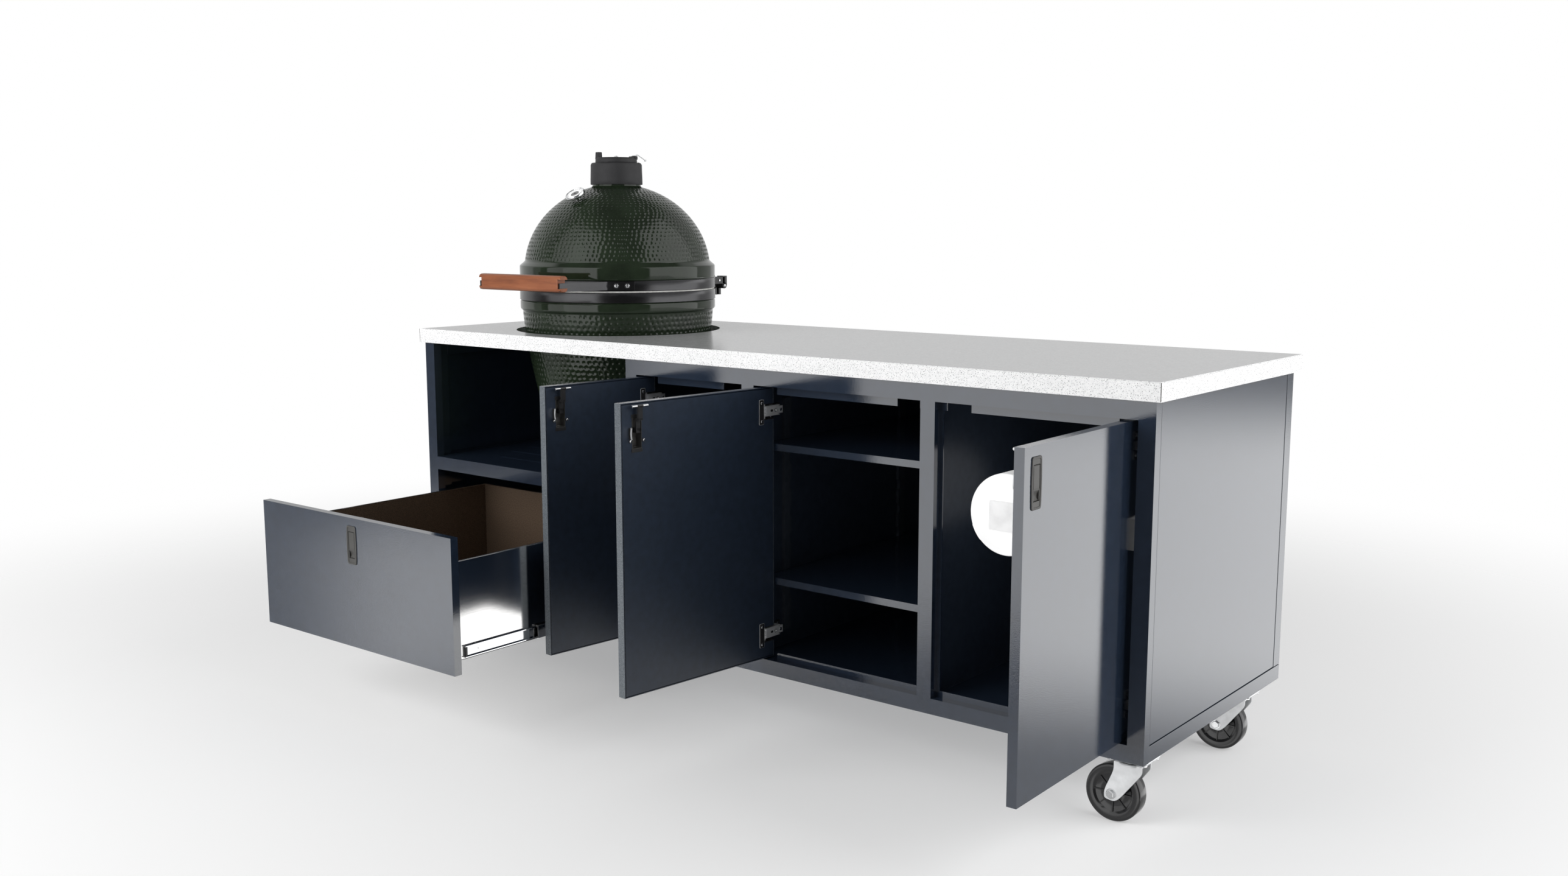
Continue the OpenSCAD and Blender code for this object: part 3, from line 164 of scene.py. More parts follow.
def stone():
    """Pale stone with dark chips of two sizes. Its edges are painted whiter and its top greyer, by which way a face
    looks: painted light and shade.
    """
    m = new_mat("pale_stone", (0.6, 0.6, 0.6), 0.16, IOR=1.5)
    v = coords(m)
    big, small = (node(m, "TexVoronoi", Scale=s, Vector=v) for s in (280, 430))
    grain = noise(m, v, 240, 3)

    def mix(kind, fac, a, b):
        return node(m, "Mix", data_type="RGBA", blend_type=kind, Factor=fac, A=a, B=b).outputs["Result"]

    def chipped(dark, light, *chips):
        body = ramp(m, grain, (0.35, dark), (0.65, light))
        for chip, at, color, end in chips:
            body = mix("MULTIPLY", 1, body, ramp(m, chip, (at, color), (end, 1)))
        return body

    # Painted light and shade: a greyer copy of the stone for faces that look up and a whiter one for the edges. The
    # normal's Z picks between them below.
    top = chipped((0.44, 0.447, 0.455), (0.56, 0.564, 0.567),
                  (big, 0.12, (0.70, 0.70, 0.71), 0.25), (small, 0.10, (0.86, 0.86, 0.87), 0.22))
    edge = chipped((0.90, 0.902, 0.905), (0.98, 0.98, 0.978),
                   (big, 0.16, (0.10, 0.10, 0.11), 0.26), (small, 0.13, (0.34, 0.34, 0.36), 0.27))
    up = node(m, "SeparateXYZ", Vector=node(m, "NewGeometry").outputs["Normal"]).outputs["Z"]
    tint(m, mix("MIX", ramp(m, up, (0.3, 0), (0.8, 1)), edge, top))
    rough_from(m, noise(m, v, 40, 2), 0.12, 0.20)
    return m


def glaze():
    color = (0.014, 0.022, 0.012)
    m = new_mat("green_glaze", color, 0.05, IOR=1.5)
    v = coords(m)
    tint(m, mottled(m, color, noise(m, v, 14, 5, 0.6), 0.75, 1.3))
    bump(m, noise(m, v, 45, 2), 0.03, 0.001)
    return m


def metal(name, color, rough, stretch, scale, grain):
    m = new_mat(name, color, rough, 1)
    v = coords(m, stretch)
    tint(m, mottled(m, color, noise(m, v, scale / 8, 4), 0.93, 1.05))
    rough_from(m, noise(m, v, scale, 3), rough * 0.8, rough * 1.25)
    bump(m, noise(m, v, scale, 2), grain, 0.0003)
    return m


def plain(name, color, rough, scale, depth, metallic=0.0, **sockets):
    m = new_mat(name, color, rough, metallic, **sockets)
    v = coords(m)
    tint(m, mottled(m, color, noise(m, v, scale / 10, 4), 0.88, 1.1))
    rough_from(m, noise(m, v, scale / 5, 3), rough * 0.85, min(1, rough * 1.15))
    bump(m, noise(m, v, scale, 2), depth, 0.0005)
    return m


def wood():
    m = new_mat("red_wood", (0.24, 0.07, 0.028), 0.42, Coat_Weight=0.12, Coat_Roughness=0.25)
    tint(m, ramp(m, noise(m, coords(m, (1, 9, 9)), 7, 6, 0.65), (0.25, (0.15, 0.040, 0.014)),
                 (0.5, (0.245, 0.074, 0.026)), (0.75, (0.32, 0.108, 0.042))))
    grain = noise(m, coords(m, (1, 22, 22)), 60, 4, 0.7)
    bump(m, grain, 0.18, 0.0006)
    rough_from(m, grain, 0.30, 0.46)
    return m


def inside_shade_steel():
    """Painted shade: a speckled, brownish steel, darker than the drawers' outsides, for their inner faces and the shade
    inside them.
    """
    m = new_mat("shaded_steel", (0.15, 0.11, 0.08), 0.42, 0.3)
    v = coords(m)
    tint(m, ramp(m, noise(m, v, 420, 2), (0.32, (0.095, 0.068, 0.047)), (0.68, (0.22, 0.155, 0.11))))
    bump(m, noise(m, v, 500, 1), 0.12, 0.0003)
    return m


# Painted light: an emission that makes a surface glow though it is no lamp.
def painted_glow(strength):
    return dict(Emission_Color=(1, 1, 1, 1), Emission_Strength=strength)


NAVY_RGB = (0.0175, 0.027, 0.046)
NAVY = powder("navy_powder_coat", NAVY_RGB)
# A rougher navy for the back panel and partitions, painted lighter than NAVY: painted light that lifts the deep bays,
# which the lamps reach little.
NAVY_INSIDE_PAINTED_LIGHT = powder("navy_inside", (0.030, 0.041, 0.062), 1.5, 0.28, 0.36)
# The grey edge colour on this door is partly a painted reflection on its cut edges.
DOOR_L = powder("navy_door_left", NAVY_RGB, 1.5, 0.10, 0.16, 1, (0.12, 0.135, 0.15))
DOOR_R = powder("navy_door_right", NAVY_RGB, liner=-1)
UPRIGHT = powder("navy_uprights", (0.045, 0.055, 0.070), 1.5, 0.28, 0.36)
STONE = stone()
GLAZE = glaze()
WOOD = wood()
INSIDE_SHADE = inside_shade_steel()
STEEL = metal("satin_steel", (0.86, 0.85, 0.84), 0.12, (1, 1, 14), 260, 0.012)
CHROME = metal("bright_chrome", (0.86, 0.87, 0.88), 0.09, (1, 1, 1), 200, 0.02)
BAND = metal("black_steel", (0.085, 0.085, 0.088), 0.22, (6, 6, 60), 120, 0.04)
ZINC = plain("zinc_steel", (0.80, 0.81, 0.82), 0.30, 420, 0.10, 0.45)
BLACK = plain("black_satin", (0.022, 0.022, 0.023), 0.35, 400, 0.10)
CAST = plain("cast_black", (0.024, 0.024, 0.0255), 0.62, 420, 0.45)
FELT = plain("white_felt", (0.78, 0.78, 0.75), 0.95, 900, 0.6)
PLASTIC = plain("grey_plastic", (0.062, 0.057, 0.052), 0.45, 700, 0.12)
TYRE = plain("black_plastic", (0.012, 0.012, 0.013), 0.20, 120, 0.03, Coat_Weight=0.4, Coat_Roughness=0.06)
# The paper glows a little, on the roll and on the thermometer's dial: painted light that lifts it towards white.
PAPER = plain("white_paper", (0.95, 0.95, 0.945), 0.9, 160, 0.4, **painted_glow(0.25))
PAN = plain("grey_latch", (0.062, 0.061, 0.058), 0.42, 500, 0.10)
CARD = plain("brown_card", (0.30, 0.20, 0.12), 0.9, 300, 0.3)
# The holder's satin steel is drawn as a pale non-metal that glows a little: a painted reflection of the white it
# mirrors, plus painted light.
HOLDER = plain("steel_painted_white", (0.86, 0.86, 0.86), 0.35, 300, 0.05, **painted_glow(0.10))
CLAY = plain("fire_clay", (0.42, 0.34, 0.26), 0.85, 200, 0.4)


def bevel(o, width, segments=2, angle=40):
    b = o.modifiers.new("edge", "BEVEL")
    b.width = width / 1000
    b.segments = segments
    b.limit_method = "ANGLE"
    b.angle_limit = radians(angle)
    b.harden_normals = True


# ---- mesh building
class Piece:
    """Collects solids, in millimetres, and makes one object of them."""

    def __init__(self, mat):
        self.v, self.f, self.mi, self.mats = [], [], [], []
        self.at().use(mat)

    def use(self, mat):
        if mat not in self.mats:
            self.mats.append(mat)
        self.mat = self.mats.index(mat)
        return self

    def at(self, x=0, y=0, z=0, turn=0, flip=False, tilt=0):
        """Sets the frame for what follows. turn is about Z and tilt about X, and flip mirrors it on X."""
        self.m = Matrix.Translation((x, y, z)) @ Matrix.Diagonal((-1 if flip else 1, 1, 1, 1)) \
            @ Matrix.Rotation(radians(turn), 4, "Z") @ Matrix.Rotation(radians(tilt), 4, "X")
        return self

    def within(self, x=0, y=0, z=0, turn=0):
        """Steps into a frame inside the present one."""
        self.m = self.m @ Matrix.Translation((x, y, z)) @ Matrix.Rotation(radians(turn), 4, "Z")
        return self

    def add(self, verts, faces):
        k = len(self.v)
        self.v += [self.m @ Vector(p) for p in verts]
        odd = self.m.determinant() < 0
        for f in faces:
            f = [k + i for i in f]
            self.f.append(f[::-1] if odd else f)
            self.mi.append(self.mat)
        return self

    def box(self, x0, y0, z0, x1, y1, z1):
        v = [(x, y, z) for z in (z0, z1) for x, y in ((x0, y0), (x1, y0), (x1, y1), (x0, y1))]
        return self.add(v, [(3, 2, 1, 0), (4, 5, 6, 7), (0, 1, 5, 4), (1, 2, 6, 5), (2, 3, 7, 6), (3, 0, 4, 7)])

    def boxes(self, *rows):
        for row in rows:
            self.box(*row)
        return self

    def prism(self, pts, a0, a1, axis="z"):
        """Draws an outline out along an axis, from a0 to a1."""
        n, i = len(pts), "xyz".index(axis)
        area = sum(p[0] * q[1] - q[0] * p[1] for p, q in zip(pts, pts[1:] + pts[:1]))
        if (area < 0) != (axis == "y"):
            pts = pts[::-1]
        v = [(*p[:i], a, *p[i:]) for a in sorted((a0, a1)) for p in pts]
        f = [tuple(range(n))[::-1], tuple(range(n, 2 * n))]
        f += [(i, (i + 1) % n, n + (i + 1) % n, n + i) for i in range(n)]
        return self.add(v, f)

    def lathe(self, prof, axis="z", seg=48, center=(0, 0, 0)):
        """prof is a closed outline of (radius, height) points, or an open one that starts and ends on the axis."""
        v, f = [], []
        n = len(prof)
        for i in range(seg):
            c, s = polar(1, 360 * i / seg)
            for r, h in prof:
                p = {"z": (r * c, r * s, h), "y": (r * s, h, r * c), "x": (h, r * c, r * s)}[axis]
                v.append([u + w for u, w in zip(p, center)])
            j = (i + 1) % seg
            for k in range(n):
                q = (k + 1) % n
                if max(prof[k][0], prof[q][0]) >= 1e-6:
                    f.append((i * n + k, j * n + k, j * n + q, i * n + q))
        return self.add(v, f)

    def loft(self, loops, capped=True):
        """Skins loops of equally many points, in order."""
        n, m = len(loops[0]), len(loops)
        f = []
        for i in range(m - 1):
            f += [(i * n + k, i * n + (k + 1) % n, (i + 1) * n + (k + 1) % n, (i + 1) * n + k) for k in range(n)]
        if capped:
            f += [tuple(range(n))[::-1], tuple(range((m - 1) * n, m * n))]
        return self.add([q for loop in loops for q in loop], f)

    def screw(self, pos, r, h, axis="y", s=1):
        """A domed head which rises from pos, with a dark cross on it: painted shade that stands for its cross recess.
        """
        head = self.mats[self.mat]
        self.lathe([(0, 0), (r, 0), (r, 0.4 * h * s), (0.82 * r, 0.82 * h * s), (0.5 * r, h * s), (0, h * s)],
                   axis, 20, pos)
        # painted shade: a thin black cross stands for the recess
        self.use(BLACK)
        w, t = 0.62 * r, 0.13 * r
        i = "xyz".index(axis)
        for p, q in ((w, t), (t, w)):
            ends = (([-p, -q], 0.9 * h * s), ([p, q], 1.04 * h * s))
            self.box(*(u + d for side, a in ends for u, d in zip(pos, (*side[:i], a, *side[i:]))))
        return self.use(head)

    def cyl(self, r, a0, a1, axis="z", seg=32, center=(0, 0, 0), edge=0.0):
        a0, a1 = sorted((a0, a1))
        side = [(r - edge, a0), (r, a0 + edge), (r, a1 - edge), (r - edge, a1)] if edge else [(r, a0), (r, a1)]
        return self.lathe([(0, a0), *side, (0, a1)], axis, seg, center)

    def tube(self, path, r, seg=12, closed=False):
        path = [Vector(p) for p in path]
        n = len(path)
        v, f = [], []
        up = Vector((0.13, 0.21, 0.97)).normalized()
        for i, p in enumerate(path):
            a = path[(i - 1) % n] if closed or i else p
            b = path[(i + 1) % n] if closed or i < n - 1 else p
            d = (b - a).normalized()
            s = d.cross(up).normalized()
            up = s.cross(d).normalized()
            for k in range(seg):
                u, w = polar(r, 360 * k / seg)
                v.append(p + u * s + w * up)
        for i in range(n if closed else n - 1):
            j = (i + 1) % n
            for k in range(seg):
                q = (k + 1) % seg
                f.append((i * seg + q, j * seg + q, j * seg + k, i * seg + k))
        if not closed:
            f += [tuple(range(seg)), tuple(range((n - 1) * seg, n * seg))[::-1]]
        return self.add(v, f)

    def done(self, name, body, *stands_for, round=0.0, segments=2, angle=35):
        """Makes the object, which rides on a body and stands for CAD nodes, with edges rounded by round."""
        me = bpy.data.meshes.new(name)
        me.from_pydata([P(*p) for p in self.v], [], self.f)
        for m in self.mats:
            me.materials.append(m)
        me.polygons.foreach_set("material_index", self.mi)
        me.update()
        o = new_object(name, me)
        bm = bmesh.new()
        bm.from_mesh(me)
        bmesh.ops.remove_doubles(bm, verts=bm.verts, dist=1e-6)
        bmesh.ops.dissolve_degenerate(bm, edges=bm.edges, dist=1e-7)
        bmesh.ops.recalc_face_normals(bm, faces=bm.faces)
        bm.to_mesh(me)
        bm.free()
        shade_smooth(me, angle)
        if round:
            bevel(o, round, segments, angle)
        attach(o, body, stands_for)


def shade_smooth(me, angle):
    me.polygons.foreach_set("use_smooth", [True] * len(me.polygons))
    me.set_sharp_from_angle(angle=radians(angle))


def attach(o, body, stands_for):
    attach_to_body(o, body)
    if stands_for:
        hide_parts(*stands_for)


def polar(r, a):
    return (r * cos(radians(a)), r * sin(radians(a)))


def circle(r, n):
    return [polar(r, 360 * k / n) for k in range(n)]


def arc(x, z, a0, a1, r, n=5):
    turns = (polar(r, a0 + (a1 - a0) * k / n) for k in range(n + 1))
    return [(x + u, z + v) for u, v in turns]


def round_rect(w, h, r, cx=0, cy=0, n=6):
    return [q for sx, sy, a in ((1, 1, 0), (-1, 1, 90), (-1, -1, 180), (1, -1, 270))
            for q in arc(cx + sx * (w / 2 - r), cy + sy * (h / 2 - r), a, a + 90, r, n)]


def slab(p, w, h, r, y0, y1, cx=0, cz=0, edge=0.4):
    """An upright plate with rounded corners and edges, between the depths y0 and y1."""
    s = copysign(edge, y1 - y0)
    return p.loft([[(q[0], y, q[1]) for q in round_rect(w - 2 * e, h - 2 * e, max(0.3, r - e), cx, cz)]
                   for e, y in ((edge, y0), (0, y0 + s), (0, y1 - s), (edge, y1))])


def block(p, x0, y0, z0, x1, y1, z1, edge):
    """A block with softened edges."""
    return p.loft([[(x0 + e, y, z0 + e), (x1 - e, y, z0 + e), (x1 - e, y, z1 - e), (x0 + e, y, z1 - e)]
                   for e, y in ((edge, y0), (0, y0 + edge), (0, y1 - edge), (edge, y1))])


# ---- the grill's ceramic shells
EX, EY = 430, 350  # the grill's axis
JOINT = 1011  # the height at which the lid parts from the base
BASE_Z, RING_LO = 541, 956
DOME_MID, DOME_R, DOME_RISE = 1059, 255, 235
NECK_R = 66
NECK_Z = DOME_MID + DOME_RISE * sqrt(1 - (NECK_R / DOME_R) ** 2)
CAP_Z = NECK_Z + 6
SPOKES = 840  # the points round a shell


def base_r(z):
    return float(262 - (262 - 178) * max(0, 1 - (z - BASE_Z) / (RING_LO - BASE_Z)) ** 1.4)


def dimple_depths(prof, margins, pitch, rd, depth, seed):
    """How deep each point of a shell's outer profile sinks, with rows of uneven dimples on it."""
    rng = np.random.default_rng(seed)
    s = np.concatenate([[0], np.cumsum(np.hypot(*np.diff(prof, axis=0).T))])
    a = np.arange(SPOKES) * 2 * pi / SPOKES
    sink = np.zeros((len(prof), SPOKES))
    rise = pitch * 0.87
    for k in range(int(s[-1] / rise) + 1):
        sk = (k + 0.5) * rise
        if not (margins[0] <= sk <= s[-1] - margins[1]):
            continue
        n = max(6, int(round(2 * pi * float(np.interp(sk, s, prof[:, 0])) / pitch)))
        offs = 0.5 * (k % 2) + 0.13 * sin(k * 1.7)
        jit_a = rng.uniform(-0.10, 0.10, n)
        jit_s = rng.uniform(-0.9, 0.9, n)
        jit_r = rng.uniform(0.82, 1.12, n)
        idx = np.round(a * n / (2 * pi) - offs).astype(int)
        j = idx % n
        for i in np.where(np.abs(s - sk) < rd + 1)[0]:
            da = (a - (idx + offs + jit_a[j]) * 2 * pi / n) * prof[i, 0]
            ds = s[i] - sk - jit_s[j]
            q = (da ** 2 + ds ** 2) / (rd * jit_r[j]) ** 2
            sink[i] = np.maximum(sink[i], depth * jit_r[j] * np.clip(1 - q, 0, 1) ** 1.6)
    return a, sink


def shell(name, body, stands_for, rows, closing, margins, pitch, rd, depth, seed, hole=None):
    """A turned, glazed shell. rows is its dimpled outer profile (r, z), closing the smooth rest of the outline,
    margins the smooth ends of rows, and hole the half width, bottom and top of an opening in its front."""
    prof = np.array(rows)
    a, sink = dimple_depths(prof, margins, pitch, rd, depth, seed)
    along = np.gradient(prof, axis=0)
    normal = np.stack([along[:, 1], -along[:, 0]], 1)
    normal /= np.linalg.norm(normal, axis=1)[:, None]
    full = np.vstack([prof, np.array(closing)])
    n = len(full)
    r, z = (np.repeat(full[:, k][:, None], SPOKES, 1) for k in (0, 1))
    r[:len(prof)] -= sink * normal[:, 0][:, None]
    z[:len(prof)] -= sink * normal[:, 1][:, None]
    v = np.stack(P(EX + r * np.cos(a), EY + r * np.sin(a), z), 2).reshape(-1, 3)
    i = np.arange(n)[:, None]
    j = np.arange(SPOKES)[None]
    i2, j2 = (i + 1) % n, (j + 1) % SPOKES
    i, i2 = i * SPOKES, i2 * SPOKES
    q = np.stack([i + j, i + j2, i2 + j2, i2 + j], 2).reshape(-1, 4)
    if hole:
        px, py, pz = (v[q].mean(1) * 1000 + (MID_X - EX, MID_Y - EY, 0)).T
        q = q[~((np.abs(px) < hole[0]) & (py < 0) & (pz > hole[1]) & (pz < hole[2]))]
    me = bpy.data.meshes.new(name)
    me.from_pydata(v.tolist(), [], q.tolist())
    me.materials.append(GLAZE)
    shade_smooth(me, 60)
    attach(new_object(name, me), body, [stands_for])


def make_shells():
    t0, t1 = (asin((z - DOME_MID) / DOME_RISE) for z in (1088, NECK_Z - 2))

    def dome(t):
        return DOME_R * cos(t), DOME_MID + DOME_RISE * sin(t)

    neck = [(NECK_R, NECK_Z + 2), (NECK_R, CAP_Z + 10), (50, CAP_Z + 10), (50, NECK_Z - 14)]
    inner = [(max(50, r - 20), z - 8) for r, z in map(dome, np.linspace(t1, t0, 24))]
    ring = [(241, 1056), (241, 1013), (265, 1013), (265, 1040.2)] + arc(262, 1044, -60, 0, 6, 4) \
        + arc(262, 1071, 0, 50, 6, 5) + [(257, 1083), (254.5, 1085.5)]
    shell("grill_dome_glazed", "grill_lid", "grill_dome", [dome(t) for t in np.linspace(t0, t1, 165)],
          neck + inner + ring, (5, 6), 12.8, 4.9, 1.4, 3)

    rows = [(base_r(z), z) for z in np.linspace(BASE_Z, 949, 190)]
    ring = [(262, 951)] + arc(260, 961, -70, 0, 8, 5) + arc(262, 976, 0, 60, 6, 4) + \
        [(265, 982), (265, 1009), (241, 1009), (241, RING_LO)]
    inner = [(base_r(z) - 20, z) for z in np.linspace(940, 567, 24)] + [(0.01, 567), (0.01, BASE_Z)]
    shell("grill_base_glazed", "cabinet", "grill_base", rows, ring + inner, (6, 3), 15.5, 5.7, 1.6, 8,
          (55, 595, 669))


# ---- the grill's fittings
def make_draft_door():
    y = -base_r(681) - 2
    p = Piece(CLAY).at(EX, EY)
    p.boxes((-67, y, 583, -55, y + 62, 681), (55, y, 583, 67, y + 62, 681), (-55, y, 583, 55, y + 62, 595),
            (-55, y, 669, 55, y + 62, 681))
    p.use(BLACK).boxes(*((-67, y - 5, z, 177, y, z + 5.5) for z in (583, 675.5)))
    p.done("grill_draft_frame", "cabinet", round=0.8)
    p = Piece(STEEL).at(EX, EY).boxes((-63, y - 3.3, 589, 63, y - 0.3, 675), (39, y - 11.3, 620, 43, y - 3.3, 644))
    for k in range(-4, 5):
        p.cyl(3.2, y - 4, y - 3.2, "y", 20, (k * 9.5 - 8, 0, 632))
    p.done("grill_draft_plate", "draft_door", "grill_draft_door", round=0.5)


def make_bands():
    """Bands with rolled edges, the leaves of the rear hinge on its pin, and the felt rings."""
    pin_y = 292
    for nm, body, z, leaf_x, leaf_z in (("lower", "cabinet", 982, 104, 2), ("upper", "grill_lid", 1013, 127, -2)):
        p = Piece(BAND).at(EX, EY, z)
        p.lathe([(265.6, 0), (268, 0), (269.2, 1), (268.6, 2.4), (268.6, 24.6), (269.2, 26), (268, 27),
                 (265.6, 27)], seg=160)
        for sx in (-1, 1):
            x = sx * leaf_x
            p.use(BLACK).box(x - 11, 238, 3, x + 11, pin_y, 23)
            p.cyl(9, x - 11, x + 11, "x", 28, (0, pin_y, JOINT - z), 0.8)
            p.box(x - 11, pin_y - 9, leaf_z, x + 11, pin_y + 9, leaf_z + 27)
            p.use(CHROME).cyl(3.4, x + sx * 11, x + sx * 13, "x", 6, (0, pin_y - 24, 13))
        if nm == "lower":
            p.use(ZINC).cyl(4, -139, 139, "x", 20, (0, pin_y, JOINT - z), 0.6)
        p.done(f"grill_{nm}_band_dressed", body, f"grill_{nm}_band", round=0.5)
    ring = [(246, 0.05), (265.5, 0.05), (266.2, 1), (265.5, 1.95), (246, 1.95)]
    for nm, body, z in (("lower", "cabinet", 1009), ("upper", "grill_lid", 1011)):
        p = Piece(FELT).at(EX, EY, z).lathe(ring, seg=160)
        p.done(f"grill_{nm}_gasket_felt", body, f"grill_{nm}_gasket")


def ribbon(path, t):
    """The outline of a strip of thickness t that follows a path in the plane."""
    left, right = [], []
    for i, q in enumerate(path):
        a, b = path[max(0, i - 1)], path[min(len(path) - 1, i + 1)]
        d = Vector((b[0] - a[0], b[1] - a[1])).normalized() * t / 2
        left.append((q[0] - d.y, q[1] + d.x))
        right.append((q[0] + d.y, q[1] - d.x))
    return left + right[::-1]


def make_handle():
    """An oiled bar with a slot in each end for its strap."""
    hy, hz, half = -349, 1036, 156
    cap = [(12, -13.5)] + [(12 + v, -4.5 - u) for u, v in (polar(9, t) for t in range(0, 91, 10))]
    cap += [(q[0], -q[1]) for q in cap[::-1]]
    core = [(-12, -13.5), (12, -13.5), (12, 13.5), (-12, 13.5)]
    ends = ((0, 0.91), (0.8, 0.96), (2.6, 0.985), (6, 1))
    p = Piece(WOOD).at(EX, EY)
    for outline, end in ((cap, half), ([(-q[0], -q[1]) for q in cap], half), (core, half - 9)):
        stations = [(-end + d, k) for d, k in ends] + [(end - d, k) for d, k in ends[::-1]]
        p.loft([[(x, hy + q[1] * k, hz + q[0] * k) for q in outline] for x, k in stations])
    p.done("grill_handle_bar", "grill_lid", "grill_handle")


def make_straps():
    z = 1027.5
    p = Piece(BAND)
    path = [(151.6, -360.5), (151.6, -345), (151.8, -330), (153.2, -305), (157.2, -275), (163, -245),
            (168.2, -224), (170.3, -216)] + [polar(270.7, -a) for a in (51, 49.6, 48, 46, 44, 42, 40, 38, 36)]
    for flip in (False, True):
        p.use(BAND).at(EX, EY, flip=flip).prism(ribbon(path, 4), z - 11, z + 11)
        p.within(turn=-50.2).use(TYRE).cyl(3.1, 272, 272.95, "x", 20, (0, 0, z))
        for a in (40, 46):
            p.at(EX, EY, flip=flip).within(turn=-a).use(BLACK).cyl(7.6, 272.5, 273.2, "x", 24, (0, 0, z))
            p.use(CHROME).lathe([(0, 273.2), (6.6, 273.2), (6.4, 275), (5, 276.6), (3.1, 277.1), (2.9, 275.2),
                                 (0, 275.2)], "x", 6, (0, 0, z))
    p.done("grill_handle_straps_bent", "grill_lid", "grill_handle_straps", round=0.8, segments=3)


def make_thermometer():
    """A bezel and a dial with plain ticks and a needle, square to the dome."""
    rise = 192
    r = DOME_R * sqrt(1 - (rise / DOME_RISE) ** 2)
    slope = degrees(atan2(r / DOME_R ** 2, rise / DOME_RISE ** 2))
    p = Piece(CHROME).at(EX, EY - r, DOME_MID + rise, tilt=slope)
    p.cyl(3, -70, 2, seg=20).cyl(9, -0.8, 8.5)
    p.lathe([(0, 8), (16, 8), (22, 9.5), (26.4, 12.5), (27, 15), (27, 19), (26, 20.6), (24.4, 20.8), (23.4, 19.6),
             (23.4, 18), (0, 18)], seg=64)
    p.use(PAPER).cyl(23.3, 18, 18.4, seg=48)
    p.use(BLACK)
    for k in range(21):
        c, s = polar(1, -60 + 14.4 * k)
        r0, w = (17.5, 0.5) if k % 5 == 0 else (19.5, 0.3)
        p.prism([(d * c - u * s, d * s + u * c) for d, u in ((r0, w), (r0, -w), (22, -w), (22, w))], 18.4, 18.6)
    p.prism([(-4, -1), (-4, 1), (17, 0.25), (17, -0.25)], 18.6, 18.9)
    p.cyl(2.2, 18.4, 19.4, seg=20)
    p.done("grill_thermometer_dial", "grill_lid", "grill_thermometer")


def make_cap():
    low = 1292
    pin = (40, 30, 0)
    p = Piece(CAST).at(EX, EY, low)
    p.lathe([(66.4, 0.8), (67.2, 0), (70.2, 0), (71, 1.2), (70.9, 14), (70.2, 36), (69.8, 53), (69, 55.4), (66.6, 58.2),
             (65.2, 58.8), (60, 59), (46, 59), (45, 58), (45, 10), (66.4, 10)], seg=128)
    p.lathe([(0, 57), (4, 57), (4, 76.2), (3.2, 77), (0, 77)], seg=24, center=pin)
    # Two feet on the rim
    for a in (20, 200):
        p.lathe([(0, 56), (3.2, 56), (3.2, 59.1), (2.4, 59.2), (0, 59.2)], seg=20, center=(*polar(66, a), 0))
    p.done("grill_cap_cast", "grill_lid", "grill_cap", round=0.6, angle=40)

    # The disc that turns on the pin, from its underside up
    p = Piece(CAST).at(EX, EY, low + 59.3)
    p.lathe([(0, 0), (56.4, 0), (57, 0.8), (56.4, 9.6), (55, 11), (52.6, 11.2), (52, 11.6), (51.6, 13.4), (50.6, 14),
             (0, 14)], seg=128)
    p.lathe([(4.06, 9), (9, 9), (8.8, 17), (8, 18), (4.06, 18)], seg=32, center=pin)
    # The block to push it by, a little wider at its foot
    p.loft([[(*q, z) for q in round_rect(w, w, 2, -40, -27, 3)]
            for w, z in ((15.2, 10), (14.6, 14), (13.6, 27.6), (12.4, 29))])
    # A raised pad under the pin's hub
    aim = 0.6435
    u, v = cos(aim), sin(aim)
    p.loft([[(pin[0] + u * a - v * b, pin[1] + v * a + u * b, z) for a, b in round_rect(w, h, 3, -4, 0, 3)]
            for w, h, z in ((22, 17, 10), (21, 16, 16.2), (19.6, 14.6, 17))])
    p.use(ZINC).cyl(8.6, 14, 14.9, seg=28)
    p.lathe([(0, 14.9), (6, 14.9), (6, 17.2), (5.2, 18), (2.8, 18), (2.8, 18.9), (2.2, 19.4), (0, 19.4)], seg=6)
    # A wire loop on the hub, bent outward over the rim
    wire = []
    for k in range(15):
        t = k / 14
        d = 2 + 28 * t
        wire.append((pin[0] + u * d, pin[1] + v * d, 19.5 + 1.4 * sin(pi * min(1, t * 2.2))
                     - 13.5 * max(0, t - 0.25) ** 1.2 / 0.708))
    p.tube(wire, 1.1, 10)
    ex, ey, ez = wire[-1]
    p.lathe([(0, ez - 2.4), (2.6, ez - 2.2), (3.4, ez), (2.6, ez + 2.2), (0, ez + 2.4)], seg=16, center=(ex, ey, 0))
    p.tube([(pin[0] + a, pin[1] + b, 18.9) for a, b in circle(5, 24)], 0.9, 8, closed=True)
    p.done("grill_cap_lid_cast", "cap_lid", "grill_cap_lid", round=0.5, angle=40)


def make_grates():
    p = Piece(STEEL).at(EX, EY)
    for r, z, pitch in ((base_r(916) - 30, 975, 22), (base_r(603) - 48, 606, 18)):
        p.tube([(x, y, z) for x, y in circle(r - 3, 96)], 2.9, 10, closed=True)
        n = int((r - 6) // pitch)
        for k in range(-n, n + 1):
            half = sqrt((r - 3) ** 2 - (k * pitch) ** 2)
            p.tube([(k * pitch, -half, z), (k * pitch, half, z)], 2.8, 10)
    p.done("grill_grates_welded", "cabinet", "grill_grates", angle=60)


# ---- doors, hinges and latches
# The pivot's x, the side the door lies on, the stored opening angle, and the width
DOORS = {2: (852, 1, 96, 332), 3: (1226, 1, 96, 451), 4: (2128, -1, 91, 451)}
PIVOT_Y = 19
HINGE_Z = (238, 763)


